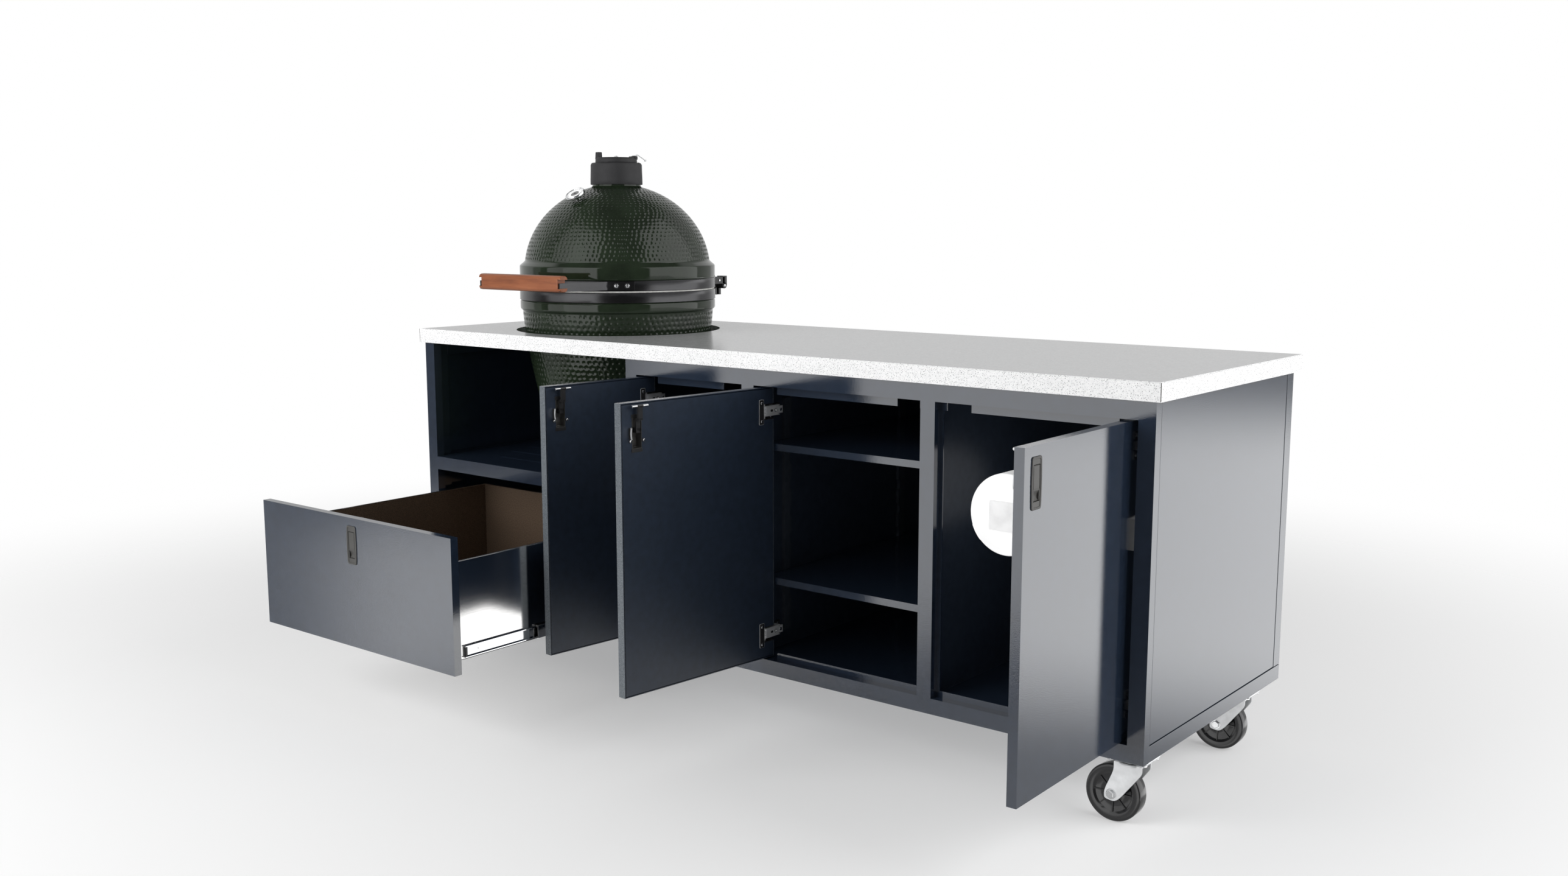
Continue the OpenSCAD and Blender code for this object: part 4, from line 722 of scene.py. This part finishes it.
def door_hinges(n):
    px, s, angle, _ = DOORS[n]
    p = Piece(BLACK)
    for z in HINGE_Z:
        p.at(px, PIVOT_Y, 0, -angle, s < 0).within(z=z)
        p.use(BLACK).boxes((-21, -8, -18.5, 13.5, -6, 18.5), (-21, -6, -18.5, 13.5, 9.9, -17),
                           (-21, -6, 17, 13.5, 9.9, 18.5), (12, -6, -17, 13.5, 9.9, 17))
        slab(p.use(ZINC), 15, 58, 2.5, 10, 11.1, 19.5, 0, 0.3)
        p.cyl(2, -18, 18, seg=16)
        slab(p.use(BLACK), 13.6, 56.6, 2, 11.1, 12.1, 20.1)
        for sz in (-21, 21):
            p.use(CHROME).screw((19.5, 12, sz), 3.5, 1.3)
    p.done(f"door_{n}_hinge_cups", f"door_{n}", f"door_{n}_hinges", round=0.35)


def arms_and_plates():
    """The arms on the doors' pins, and the cross plates on the walls that they are screwed to."""
    a = Piece(CHROME)
    b = Piece(BLACK)

    def plate(w, h, r, cy, cz, x0, x1):
        b.prism([(q[0] + cy, q[1] + cz) for q in round_rect(w, h, r)], x0, x1, "x")

    for px, s, _, _ in DOORS.values():
        for z in HINGE_Z:
            for p in (a, b):
                p.at(px, PIVOT_Y, z, flip=s < 0).use(ZINC)
            for z0, z1 in ((-12, -4.4), (-4, 4), (4.4, 12)):
                a.cyl(4.6, z0, z1, seg=24, edge=0.5)
            a.boxes((2.6, 1, -10.6, 5, 46, 10.6), (-3, 3, -12, 5, 50, -10.4), (-3, 3, 10.4, 5, 50, 12),
                    (1.4, 44, -8.6, 4.2, 62, 8.6), (-29, 48, -8, -3, 62, 8), (-3, 44, -7.6, 1.4, 61, 7.6))
            # painted shade: a thin black patch stands for the stamped hole in the arm
            a.use(BLACK).prism([(q[0] + 21, q[1]) for q in round_rect(9, 5.4, 2.6)], 4.9, 5.06, "x")
            a.use(CHROME).lathe([(2.9, 4.95), (4.6, 4.95), (4.4, 5.5), (3.2, 5.5)], "x", 24, (0, 34, 0))
            a.screw((4.2, 54, 0), 4.2, 1.6, "x")
            for cz in (-20, 20):
                plate(15.4, 16, 2, 59.6, cz, -32, -30.3)
            b.use(BLACK)
            plate(52, 18, 3, 66, 0, -32, -29)
            plate(14.6, 56, 3, 60.3, 0, -30.3, -29)
            b.use(CHROME)
            for y, cz, r, h in ((60, -20, 3.8, 1.5), (60, 20, 3.8, 1.5), (84, 3, 2.6, 1.2), (84, -4, 2.6, 1.2)):
                b.screw((-29, y, cz), r, h, "x")
            b.lathe([(1.6, -29), (3.4, -29), (3.4, -27.2), (1.6, -27.2)], "x", 20, (0, 72, -4))
    a.done("hinge_arms_pressed", "cabinet", "hinge_arms", round=0.5)
    b.done("hinge_plates_pressed", "cabinet", "hinge_plates", round=0.4)


def bowed(w, h, r, y, bow=1.6):
    """An upright outline with slightly barrelled sides."""
    def pull(z):
        return 1 - 2 * bow / w * (2 * z / h) ** 2

    flat = round_rect(w, h, r, n=8)
    out = []
    for (x, z), (_, z2) in zip(flat, flat[1:] + flat[:1]):
        out.append((x * pull(z), y, z))
        if abs(z2 - z) > h * 0.4:
            for t in (0.2, 0.4, 0.6, 0.8):
                zt = z + (z2 - z) * t
                out.append((copysign(w / 2, x) * pull(zt), y, zt))
    return out


def latch(stem, at, within=(0, 0, 0)):
    """A sprung latch, from the outer face inwards along Y, about the pan's middle."""
    p = Piece(PAN).at(*at).within(*within)
    p.loft([bowed(37, 93, 5, 0), bowed(37, 93, 5, -1.2), bowed(36.4, 92.4, 4.8, -1.8), bowed(35, 91, 4.4, -2.1),
            bowed(29, 85, 4, -2.1), bowed(28, 84, 3.4, -1.2)], False)
    p.loft([bowed(28, 84, 3.4, -1.2), bowed(24.6, 64.6, 2, -1.1, 0), bowed(24.2, 64.2, 1.8, -0.2, 0),
            bowed(24.2, 64.2, 1.8, 21, 0), bowed(26, 68, 2, 21, 0), bowed(26, 68, 2, 0.2, 0)], False)
    p.use(BLACK)
    for w, h, r, y1, cx, cz in ((30, 8, 1.5, 21.2, 0, 36.5), (30, 8, 1.5, 21.2, 0, -36.5), (9, 24, 1, 21, 17.5, 1)):
        slab(p, w, h, r, 20, y1, cx, cz)
    for x in (-18, 18):
        p.use(BLACK).cyl(4.2, 20, 21.5, "y", 20, (x, 0, -16), 0.3)
        p.use(CHROME).screw((x, 21.5, -16), 3.2, 2.4)
    # The bright wing that springs against the frame
    loops = []
    for k in range(9):
        t = k / 8
        c = -1.3 * (2 * t - 1) ** 2
        front = [(15, 20.6), (18, 22.4), (20.6, 25.2), (22.4, 28.6), (23.4, 32.6)]
        loops.append([(x + c, y, -11 + 24 * t) for x, y in front + [(x + 0.8, y - 0.5) for x, y in front[::-1]]])
    p.use(ZINC).loft(loops)
    p.done(stem + "_latch_pan", stem, stem + "_latch", round=0.3)

    # The paddle, its hooked edge with two cheeks, and the lever with the pins
    p = Piece(PAN).at(*at).within(*within)
    slab(p, 22.8, 42, 1.4, 2.2, -0.7, 0, 10, 0.5)
    slab(p, 20.8, 40, 1.2, -0.7, -1, 0, 10, 0.2)
    p.prism([(2.2, -10.6), (-0.8, -10.6), (-1, -12.4), (-0.2, -14.5), (1, -17), (2.2, -20), (2.8, -23.5),
             (2.4, -27), (1.4, -29.4), (0.2, -31), (3.6, -31), (5, -28), (5.4, -22), (4.4, -16)], -11.4, 11.4, "x")
    for s in (-1, 1):
        p.prism([(-0.8, -10.6), (-1, -12), (-0.9, -31), (2.2, -31), (2.2, -10.6)], s * 9.4, s * 11.4, "x")
    p.use(BLACK).boxes((-6, 2.2, 1, 6, 26, 11), (-6, 22, 1, 6, 26, 32), (-6, 22, 28, 6, 34, 32),
                       (-6, 30, 30, 6, 34, 60.6), (-1.6, 19, 4, 1.6, 22, 26))
    p.cyl(2.1, -12, 12, "x", 16, (0, 5, 6))
    p.cyl(3.4, -7.4, 7.4, "x", 20, (0, 32, 58.5), 0.4)
    p.use(CHROME)
    for s in (-1, 1):
        p.cyl(2.8, s * 7.4, s * 22, "x", 24, (0, 32, 58.5), 0.5)
    p.done(stem + "_latch_paddle_formed", stem + "_paddle_body", stem + "_paddle", round=0.35)


def make_doors():
    arms_and_plates()
    for n, (px, s, angle, w) in DOORS.items():
        door_hinges(n)
        latch(f"door_{n}", (px, PIVOT_Y, 0, -angle, s < 0), (w - 63.5, -10, 753.5))
    latch("big_drawer", (420, -541, 434.5))


# ---- drawers and their slides
RUN = 0.5  # the gap between a slide's members
WEB = 1.8  # the thickness of their sheet
RAIL_H = 36
SHEET = 1.5  # the thickness of a drawer's walls
# SHADE_SKIN is the thickness of sheets of painted shade: the darker faces that line a drawer, and the dark patches for
# holes in the slides.
SHADE_SKIN = 0.12  # the darker faces that line a drawer


def channel(p, x, s, y0, y1, z0, h, depth):
    """A C-shaped member with its back at x, open towards s."""
    c, t = 0.55, WEB
    pts = [(0, c), (c, 0), (depth, 0), (depth, t), (t, t), (t, h - t), (depth, h - t), (depth, h), (c, h), (0, h - c)]
    return p.use(CHROME).prism([(x + s * a, z0 + b) for a, b in pts], y0, y1, "y")


def web_screws(p, x, s, ys, z, r):
    for y in ys:
        p.screw((x + s * WEB, y, z), r, 0.2, "x", s)


def make_slides():
    """The cabinet's rails, in one piece, and the middle members."""
    rails = Piece(ZINC)
    mids = []
    inner = (866.3, 1127.7), 54, 674, (90, 260, 460, 640), 54, 674
    for stem, z, xs, y0, y1, ys, m0, m1 in (("big_drawer", 215, (48, 792), 36, 676, (60, 250, 450, 640), -294, 346),
                                            ("upper_drawer", 666.5, *inner), ("lower_drawer", 534.5, *inner)):
        mid = Piece(ZINC)
        step_in = WEB + RUN
        for x, s in zip(xs, (1, -1)):
            channel(rails, x, s, y0, y1, z, RAIL_H, 9.2)
            web_screws(rails, x, s, ys, z + RAIL_H / 2, 2.4)
            rails.use(BLACK).box(x + s * 2.2, y1 - 8, z + 4, x + s * 8.6, y1 - 0.5, z + 32)
            channel(mid, x + s * step_in, s, m0, m1, z + step_in, RAIL_H - 2 * step_in, 8.2)
            xa = x + s * (step_in + WEB)
            mid.use(BLACK).box(xa, m0 + 2, z + 10, xa + s * 2, m0 + 11, z + 26)
            # painted shade: thin black patches on the web stand for its holes
            for k in range(5):
                yk = m0 + 60 + k * (m1 - m0 - 120) / 4
                mid.prism([(a + yk, b + z + RAIL_H / 2) for a, b in round_rect(14, 5, 2.4)], xa, xa + s * SHADE_SKIN, "x")
        mids.append((mid, stem))
    rails.done("slide_rails_rolled", "cabinet", "slide_rails", round=0.25)
    for mid, stem in mids:
        mid.done(stem + "_mids_rolled", stem + "_mid", stem + "_mid_slides", round=0.25)


def members(p, xs, y0, y1, z):
    """The drawer's own slide members: channels on its side walls, open to the rails."""
    k = 2 * (WEB + RUN)
    for x, s in zip(xs, (-1, 1)):
        channel(p, x, s, y0, y1, z + k, RAIL_H - 2 * k, 12.7 - k - 1)
        web_screws(p, x, s, (y0 + 40, (y0 + y1) / 2, y1 - 60), z + RAIL_H / 2, 2.2)
        p.use(BLACK).box(x + s * 2, y0 + 1, z + k + 3, x + s * 5.2, y0 + 7, z + RAIL_H - k - 3)


def beads(p, z, *runs):
    """Rolled beads along the top of a drawer's walls."""
    for xa, ya, xb, yb in runs:
        p.tube([(xa, ya, z - 1.5), (xb, yb, z - 1.5)], 1.5, 10)


def shade_lining(p, x0, x1, y0, y1, z0, z1, floor_to):
    """Painted shade: darker sheets on the inner faces of the floor, the sides and the back."""
    p.use(INSIDE_SHADE).boxes((x0, y0, z0, x1, floor_to, z0 + SHADE_SKIN), (x0, y0, z0, x0 + SHADE_SKIN, y1, z1),
                        (x1 - SHADE_SKIN, y0, z0, x1, y1, z1), (x0, y1 - SHADE_SKIN, z0, x1, y1, z1))


def tray(z, floor_to):
    """An inner drawer with a boxed front, and a floor up to floor_to."""
    x0, x1, y0, y1, top, t = 879, 1115, 48, 688, z + 73, SHEET
    p = block(Piece(STEEL), x0, y0, z, x1, y0 + 9, top, 0.8)
    p.boxes((x0, y0 + 8, z, x0 + t, y1, top), (x1 - t, y0 + 8, z, x1, y1, top), (x0, y1 - t, z, x1, y1, top),
            (x0, y0 + 8, z, x1, floor_to, z + t))
    beads(p, top, (x0 + 1.6, y0 + 8, x0 + 1.6, y1), (x1 - 1.6, y0 + 8, x1 - 1.6, y1), (x0, y1 - 1.6, x1, y1 - 1.6))
    shade_lining(p, x0 + t, x1 - t, y0 + 9, y1 - t, z + t, top - 4, floor_to - SHADE_SKIN)
    # a sheet of painted shade on the front's inner face
    p.box(x0 + t, y0 + 9, z + t, x1 - t, y0 + 9 + SHADE_SKIN, top - 1)
    members(p, (x0, x1), 54, 674, z + 18.5)
    return p


def make_drawers():
    tray(648, 688).done("upper_drawer_tray", "upper_drawer", "upper_drawer_box", round=0.25)
    # The lower one has a cross wall, and behind it a ledge that the bin's rim rests on
    cross, z = 368.5, 516
    tray(z, cross).use(STEEL).boxes(
        (880.5, cross - SHEET, z, 1113.5, cross, 585), (880.5, cross, z, 882.5, 686.5, z + SHEET),
        (1111.5, cross, z, 1113.5, 686.5, z + SHEET)).done("lower_drawer_tray", "lower_drawer", "lower_drawer_box",
                                                           round=0.25)
    # The big drawer's tub, with a notch for the latch from n0 to n1
    x0, x1, y0, y1, z0, z1, t = 60.7, 779.3, -521, 165, 215, 445, SHEET
    n0, n1, notch_z = 391, 449, 394.5
    p = Piece(STEEL).boxes(
        (x0, y0, z0, x1, y1, z0 + t), (x0, y0, z0, x0 + t, y1, z1), (x1 - t, y0, z0, x1, y1, z1),
        (x0, y1 - t, z0, x1, y1, z1), (x0, y0, z0, n0, y0 + t, z1), (n1, y0, z0, x1, y0 + t, z1),
        (n0, y0, z0, n1, y0 + t, notch_z))
    beads(p, z1, (x0 + 1, y0, x0 + 1, y1), (x1 - 1, y0, x1 - 1, y1), (x0, y1 - 1, x1, y1 - 1),
          (x0, y0 + 1, n0, y0 + 1), (n1, y0 + 1, x1, y0 + 1))
    shade_lining(p, x0 + t, x1 - t, y0 + t, y1 - t, z0 + t, z1 - 3, y1 - t)
    # sheets of painted shade on the front wall's inner face
    p.boxes(*((a, y0 + t, z0 + t, b, y0 + t + SHADE_SKIN, top) for a, b, top in
              ((x0 + t, n0, z1 - 3), (n1, x1 - t, z1 - 3), (n0, n1, notch_z))))
    members(p, (x0, x1), -508, 116, z0)
    p.done("big_drawer_tub", "big_drawer", "big_drawer_box", round=0.25)


def make_bin():
    rows = [(157, 242, 20, 220), (165, 250, 24, 221), (169, 254, 26, 225)]
    rows += [(169 + 6 * k, 254 + 6 * k, 26 + k / 2, 225 + 45.25 * k) for k in range(1, 9)]
    rows += [(218, 303, 30, 588.6), (228, 308, 30, 589.2), (232, 309, 30, 589.4), (234, 310, 30, 590.6),
             (234, 310, 30, 594.4), (233, 309.2, 29.6, 596), (230.5, 307.5, 29, 596.9), (221, 300, 28, 597),
             (215, 298.5, 27.6, 596.2), (212.4, 297.2, 27.4, 594)]
    rows += [(164 + 48 * t, 249 + 48 * t, 23.5 + 4 * t, 224 + 366 * t) for t in (0.95, 0.7, 0.4, 0.15, 0.02)]
    rows += [(158, 243, 20, 223), (150, 235, 18, 222.6)]
    p = Piece(PLASTIC).loft([[(*q, z) for q in round_rect(w, h, r, 997, 527.5, 8)] for w, h, r, z in rows])
    p.done("waste_bin_moulded", "lower_drawer", "waste_bin", angle=50)


def make_roll():
    x, z = 1840, 591
    prof = [(22 + k * 2.4, 63.0 + (0.5 if k % 2 else 0.05)) for k in range(27)]
    prof += [(85.6, 63.3), (86.7, 64.4), (87, 66), (86.8, 150), (87, 240), (86.9, 340), (86.6, 341.8), (85.4, 342.8)]
    prof += [(r, 343 - (0.5 if i % 2 else 0.05)) for i, r in enumerate(np.linspace(84, 24, 26))]
    p = Piece(PAPER).lathe(prof + [(22, 343), (22, 63)], "y", 128, (x, 0, z))
    p.use(CARD).lathe([(21, 62.9), (23, 62.9), (23, 343.1), (21, 343.1)], "y", 64, (x, 0, z))
    # The loose end of the sheet lies on the roll
    sheet = arc(x, z, 200, 224.2, 87, 11) + arc(x, z, 224.2, 200, 86.6, 11)
    p.use(PAPER).prism(sheet, 63.6, 342.4, "y")
    p.done("paper_roll_wound", "paper_roll_body", "paper_roll", angle=50)

    # The strap from the right-hand wall, its foot, and the spindle with two hubs
    wall = 2156
    p = slab(Piece(HOLDER), wall - 1809, 62, 4, 44.3, 47.3, (wall + 1809) / 2, z, 0.5)
    p.box(wall - 3, 47.3, 560, wall, 87.3, 622)
    p.lathe([(0, 47.3), (14, 47.3), (14, 354), (12.5, 355), (0, 355)], "y", 48, (x, 0, z))
    for y in (65, 329):
        p.lathe([(14, y), (20, y), (20.9, y + 1), (20.9, y + 11), (20, y + 12), (14, y + 12)], "y", 64, (x, 0, z))
    for zs in (574, 608):
        p.use(CHROME).screw((wall - 3, 72, zs), 4, 1.6, "x", -1)
    p.done("roll_holder_bent", "cabinet", "roll_holder", round=0.5)


# ---- casters
WHEEL_R, TRAIL = 60, 34


def rounded_leg(leg):
    """The fork's side outline with its lower corners rounded."""
    out = []
    for i, b in enumerate(leg):
        if b[1] > 125:
            out.append(b)
            continue
        p0, p2 = ([b[m] + (c[m] - b[m]) * 0.32 for m in (0, 1)] for c in (leg[i - 1], leg[(i + 1) % len(leg)]))
        for t in (0, 0.25, 0.5, 0.75, 1):
            out.append(tuple((1 - t) ** 2 * p0[m] + 2 * t * (1 - t) * b[m] + t * t * p2[m] for m in (0, 1)))
    return out


def make_fork(n, x, y):
    p = Piece(ZINC).at(x, y)
    p.lathe([(0, 125.6), (27, 125.6), (30, 127), (30, 128.8), (28.6, 130), (8, 130), (8, 138.6), (7.2, 139), (0, 139)])
    block(p, -29.6, -22.6, 126, 29.6, 22.6, 129.8, 1.4)
    leg = rounded_leg([(30, 130), (-30, 130), (-30, 110), (-49, 66), (-49, 48), (-22, 45), (20, 100), (30, 114)])
    axle = (-TRAIL, 0, WHEEL_R)
    for s in (-1, 1):
        p.use(ZINC).prism(leg, s * 19, s * 23, "y")
        p.use(CHROME).lathe([(5.2, s * 23), (11, s * 23), (11, s * 24), (5.2, s * 24)], "y", 28, axle)
        p.cyl(9, s * 24, s * 29, "y", 6, axle, 1)
    p.use(ZINC).cyl(5, -22.9, 22.9, "y", 24, axle)
    p.done(f"caster_{n}_fork_pressed", f"caster_{n}", f"caster_{n}_fork", round=0.6)


def make_wheel(n, x, y):
    p = Piece(TYRE).at(x - TRAIL, y, WHEEL_R)
    half = [(5.06, -18.5), (12.6, -18.5), (14, -17.4), (14, -12.4), (16, -11.6), (38, -11.6), (40, -12.6),
            (43, -15.6), (44.6, -16), (54, -16)] + arc(55.5, -11.5, -70, -8, 4.5, 5)
    p.lathe(half + [(r, -h) for r, h in half[::-1]], "y", 96)
    # Ribs on both faces
    for a in range(0, 360, 45):
        c, d = polar(1, a)
        rib = [(u * c - v * d, u * d + v * c) for u, v in ((14, -1.6), (40.6, -1.1), (40.6, 1.1), (14, 1.6))]
        for s in (-1, 1):
            p.prism(rib, s * 11.5, s * 14, "y")
    p.done(f"caster_{n}_wheel_moulded", f"caster_{n}_wheel_body", f"caster_{n}_wheel", round=0.3)


def make_casters():
    plates = Piece(ZINC)
    for n in (1, 2, 3, 4):
        x, y = 126 if n in (1, 3) else 2142, 60 if n < 3 else 588
        plates.at(x, y)
        plates.loft([[(a * kx, b * ky, z) for a, b in round_rect(90, 70, 7)] for kx, ky, z in
                     ((0.994, 0.992, 139), (1, 1, 139.5), (1, 1, 143.5), (0.994, 0.992, 144))])
        plates.lathe([(8.06, 130.4), (21, 130.4), (23.6, 132), (24, 133.4), (22.6, 134.4), (24, 135.4), (24, 137.6),
                      (22, 139), (8.06, 139)])
        for a, b in ((-37, -27), (-37, 27), (37, -27), (37, 27)):
            plates.use(CHROME).cyl(7.2, 138, 139, seg=24, center=(a, b, 0))
            plates.cyl(6.2, 134.2, 138, seg=6, center=(a, b, 0), edge=0.8).use(ZINC)
        make_fork(n, x, y)
        make_wheel(n, x, y)
    plates.done("caster_plates_stamped", "cabinet", "caster_plates", round=0.4)


# ---- the cabinet's ends and the worktop's joints
def make_sides():
    """Each end has a back stile, a bottom rail, and a flush skin before its frame."""
    p = Piece(NAVY)
    for face, s in ((12, 1), (2188, -1)):
        for d0, d1, y0, y1, z0, z1 in ((0, 20, 691.2, 727, 179.4, 860), (0, 20, 33.2, 727, 144, 178.2),
                                       (0.7, 7, 35.4, 689.6, 180, 860), (7.2, 20, 33.2, 69, 178.4, 860),
                                       (7.2, 20, 69, 691, 822, 860)):
            p.box(face + s * d0, y0, z0, face + s * d1, y1, z1)
    p.done("side_panels_skinned", "cabinet", "side_panels", round=0.9, segments=3)


def make_mitre():
    """The dark joint line where the worktop's front and end strips meet."""
    p = Piece(PAN)
    for x, s in ((2200, 1), (0, -1)):
        p.prism([(x - s * 1.2, -0.12), (x + s * 0.12, -0.12), (x + s * 0.12, 1.2)], 860.8, 897.2)
    p.done("worktop_mitre_lines", "cabinet")


for make in (make_shells, make_draft_door, make_bands, make_handle, make_thermometer, make_straps, make_cap,
             make_grates, make_doors, make_slides, make_drawers, make_bin, make_roll, make_casters, make_sides,
             make_mitre):
    make()

# ---- CAD nodes that stay: material and rounding
for name, mat, width in (
        ("back_panel", NAVY_INSIDE_PAINTED_LIGHT, 0), ("partitions", NAVY_INSIDE_PAINTED_LIGHT, 0), ("stop_frame", NAVY, 0), ("grill_shelf", NAVY, 0),
        ("shelf_standards", UPRIGHT, 0), ("base_pan", NAVY, 0.8), ("face_frame", NAVY, 0.8), ("shelves", NAVY, 0.8),
        ("big_drawer_front", NAVY, 0.8), ("door_2_panel", DOOR_L, 0.8), ("door_3_panel", DOOR_L, 0.8),
        ("door_4_panel", DOOR_R, 0.8), ("worktop", STONE, 1), ("grill_fire_box", CLAY, 1.5)):
    NODES[name].data.materials.clear()
    NODES[name].data.materials.append(mat)
    if width:
        bevel(NODES[name], width)


# ---- floor, light and camera
FLOOR_GLOW = 0.30  # lifts the floor towards white for rays that see it
FADE = (1.4, 3.8)  # the floor fades out between these distances, in metres
WORLD_FILL = 0.30


def make_floor():
    s, z = 30, -0.0005
    me = bpy.data.meshes.new("floor")
    me.from_pydata([(-s, -s, z), (s, -s, z), (s, s, z), (-s, s, z)], [], [(0, 1, 2, 3)])
    m = new_mat("pale_floor", (0.72, 0.72, 0.72), 0.9, Specular_IOR_Level=0.0)
    nodes = m.node_tree.nodes
    rays = node(m, "LightPath").outputs
    seen = calc(m, "MAXIMUM", rays["Is Camera Ray"], rays["Is Glossy Ray"])
    seen = calc(m, "MAXIMUM", seen, rays["Is Transmission Ray"])
    lit = node(m, "AddShader")
    feed(m, lit.inputs[0], nodes["Principled BSDF"])
    feed(m, lit.inputs[1], node(m, "Emission", Strength=calc(m, "MULTIPLY", seen, FLOOR_GLOW)))
    far = calc(m, "LENGTH", node(m, "TexCoord").outputs["Object"], kind="VectorMath")
    fade = node(m, "MapRange", interpolation_type="SMOOTHSTEP", From_Min=FADE[0], From_Max=FADE[1], Value=far)
    gone = calc(m, "MAXIMUM", fade, rays["Is Glossy Ray"])
    feed(m, nodes["Material Output"].inputs["Surface"], mix_shader(m, gone, lit, node(m, "BsdfTransparent")))
    me.materials.append(m)
    new_object("floor", me)


def soft_box(name, place, target, width, power):
    """An upright lamp panel that only lights: the world below is what mirrored rays see."""
    d = bpy.data.lights.new(name, "AREA")
    d.shape = "RECTANGLE"
    d.size, d.size_y, d.energy = width, 3.8, power
    o = new_object(name, d)
    o.location = (*place, 1.9)
    o.rotation_euler = (Vector((*target, 1.9)) - o.location).to_track_quat("-Z", "Y").to_euler()
    o.visible_camera = False
    o.visible_glossy = False


def make_world():
    w = bpy.data.worlds.new("studio")
    bpy.context.scene.world = w
    w.use_nodes = True
    nodes = w.node_tree.nodes
    sky = node(w, "TexCoord").outputs["Generated"]
    up = node(w, "SeparateXYZ", Vector=sky).outputs["Z"]

    def step(value, at, soft, falling=False):
        return node(w, "MapRange", interpolation_type="SMOOTHSTEP", From_Min=at - soft, From_Max=at + soft,
                    To_Min=float(falling), To_Max=float(not falling), Value=value)

    def past(azimuth, soft, falling=False):
        """1 on the half of the sky that lies anticlockwise of an azimuth."""
        u, v = polar(1, azimuth)
        return step(calc(w, "DOT_PRODUCT", sky, (-v, u, 0), kind="VectorMath"), 0, soft, falling)

    def above(angle, soft, falling=False):
        return step(up, sin(radians(angle)), soft, falling)

    # What mirrored rays see: a floor, and panels by their azimuths, lowest and highest angle, level, and the
    # softness of their edges and upper edge
    level = calc(w, "ADD", calc(w, "MULTIPLY", above(-18.5, 0.02, True), 0.34), 0.09)
    for a0, a1, e0, e1, bright, soft, soft_up in (
            (-135, -69, -16.5, 56, 1.05, 0.02, 0.05), (-112, -69, -26, 54, 1.5, 0.02, 0.05),
            (-168, -146, -24, 56, 0.36, 0.03, 0.05), (-146.2, -132, -18, -10.8, 1.22, 0.025, 0.025),
            (-8, 62, -7.5, 56, 1.45, 0.03, 0.05), (-8, 40, -26, -7, 1.5, 0.03, 0.02),
            (58, 98, -7, 50, 0.50, 0.05, 0.05), (38, 79, -18.7, -6.8, 1.75, 0.05, 0.035),
            (76, 104, -24, -6.8, 0.6, 0.05, 0.05), (95, 200, -89, 50, 0.75, 0.08, 0.05)):
        zone = past(a0, soft)
        for factor in (past(a1, soft, True), above(e0, soft), above(e1, soft_up, True), bright):
            zone = calc(w, "MULTIPLY", zone, factor)
        level = calc(w, "MAXIMUM", level, zone)

    fill = nodes["Background"]
    fill.inputs["Color"].default_value = (1, 1, 1, 1)
    fill.inputs["Strength"].default_value = WORLD_FILL
    white, mirrored = (node(w, "Background", Color=(1, 1, 1, 1), Strength=s) for s in (1, level))
    rays = node(w, "LightPath").outputs
    last = fill
    for key, shader in (("Is Glossy Ray", mirrored), ("Is Transmission Ray", white), ("Is Camera Ray", white)):
        last = mix_shader(w, rays[key], last, shader)
    feed(w, nodes["World Output"].inputs["Surface"], last)


def make_camera():
    cam = bpy.data.cameras.new("camera")
    cam.lens, cam.sensor_width = 33.91, 36
    cam.clip_start, cam.clip_end = 0.05, 100
    o = new_object("camera", cam)
    o.location = (2.2603, -2.6782, 1.1999)
    o.rotation_euler = (radians(81.556), 0, radians(38.66))
    bpy.context.scene.camera = o


make_floor()
soft_box("panel_left", (-1.75, -3.75), (-0.55, 0.1), 3.6, 180)
soft_box("panel_right", (3.7, 1), (-0.4, 0.3), 4.2, 130)
make_world()
make_camera()
bpy.context.scene.view_settings.view_transform = "Standard"
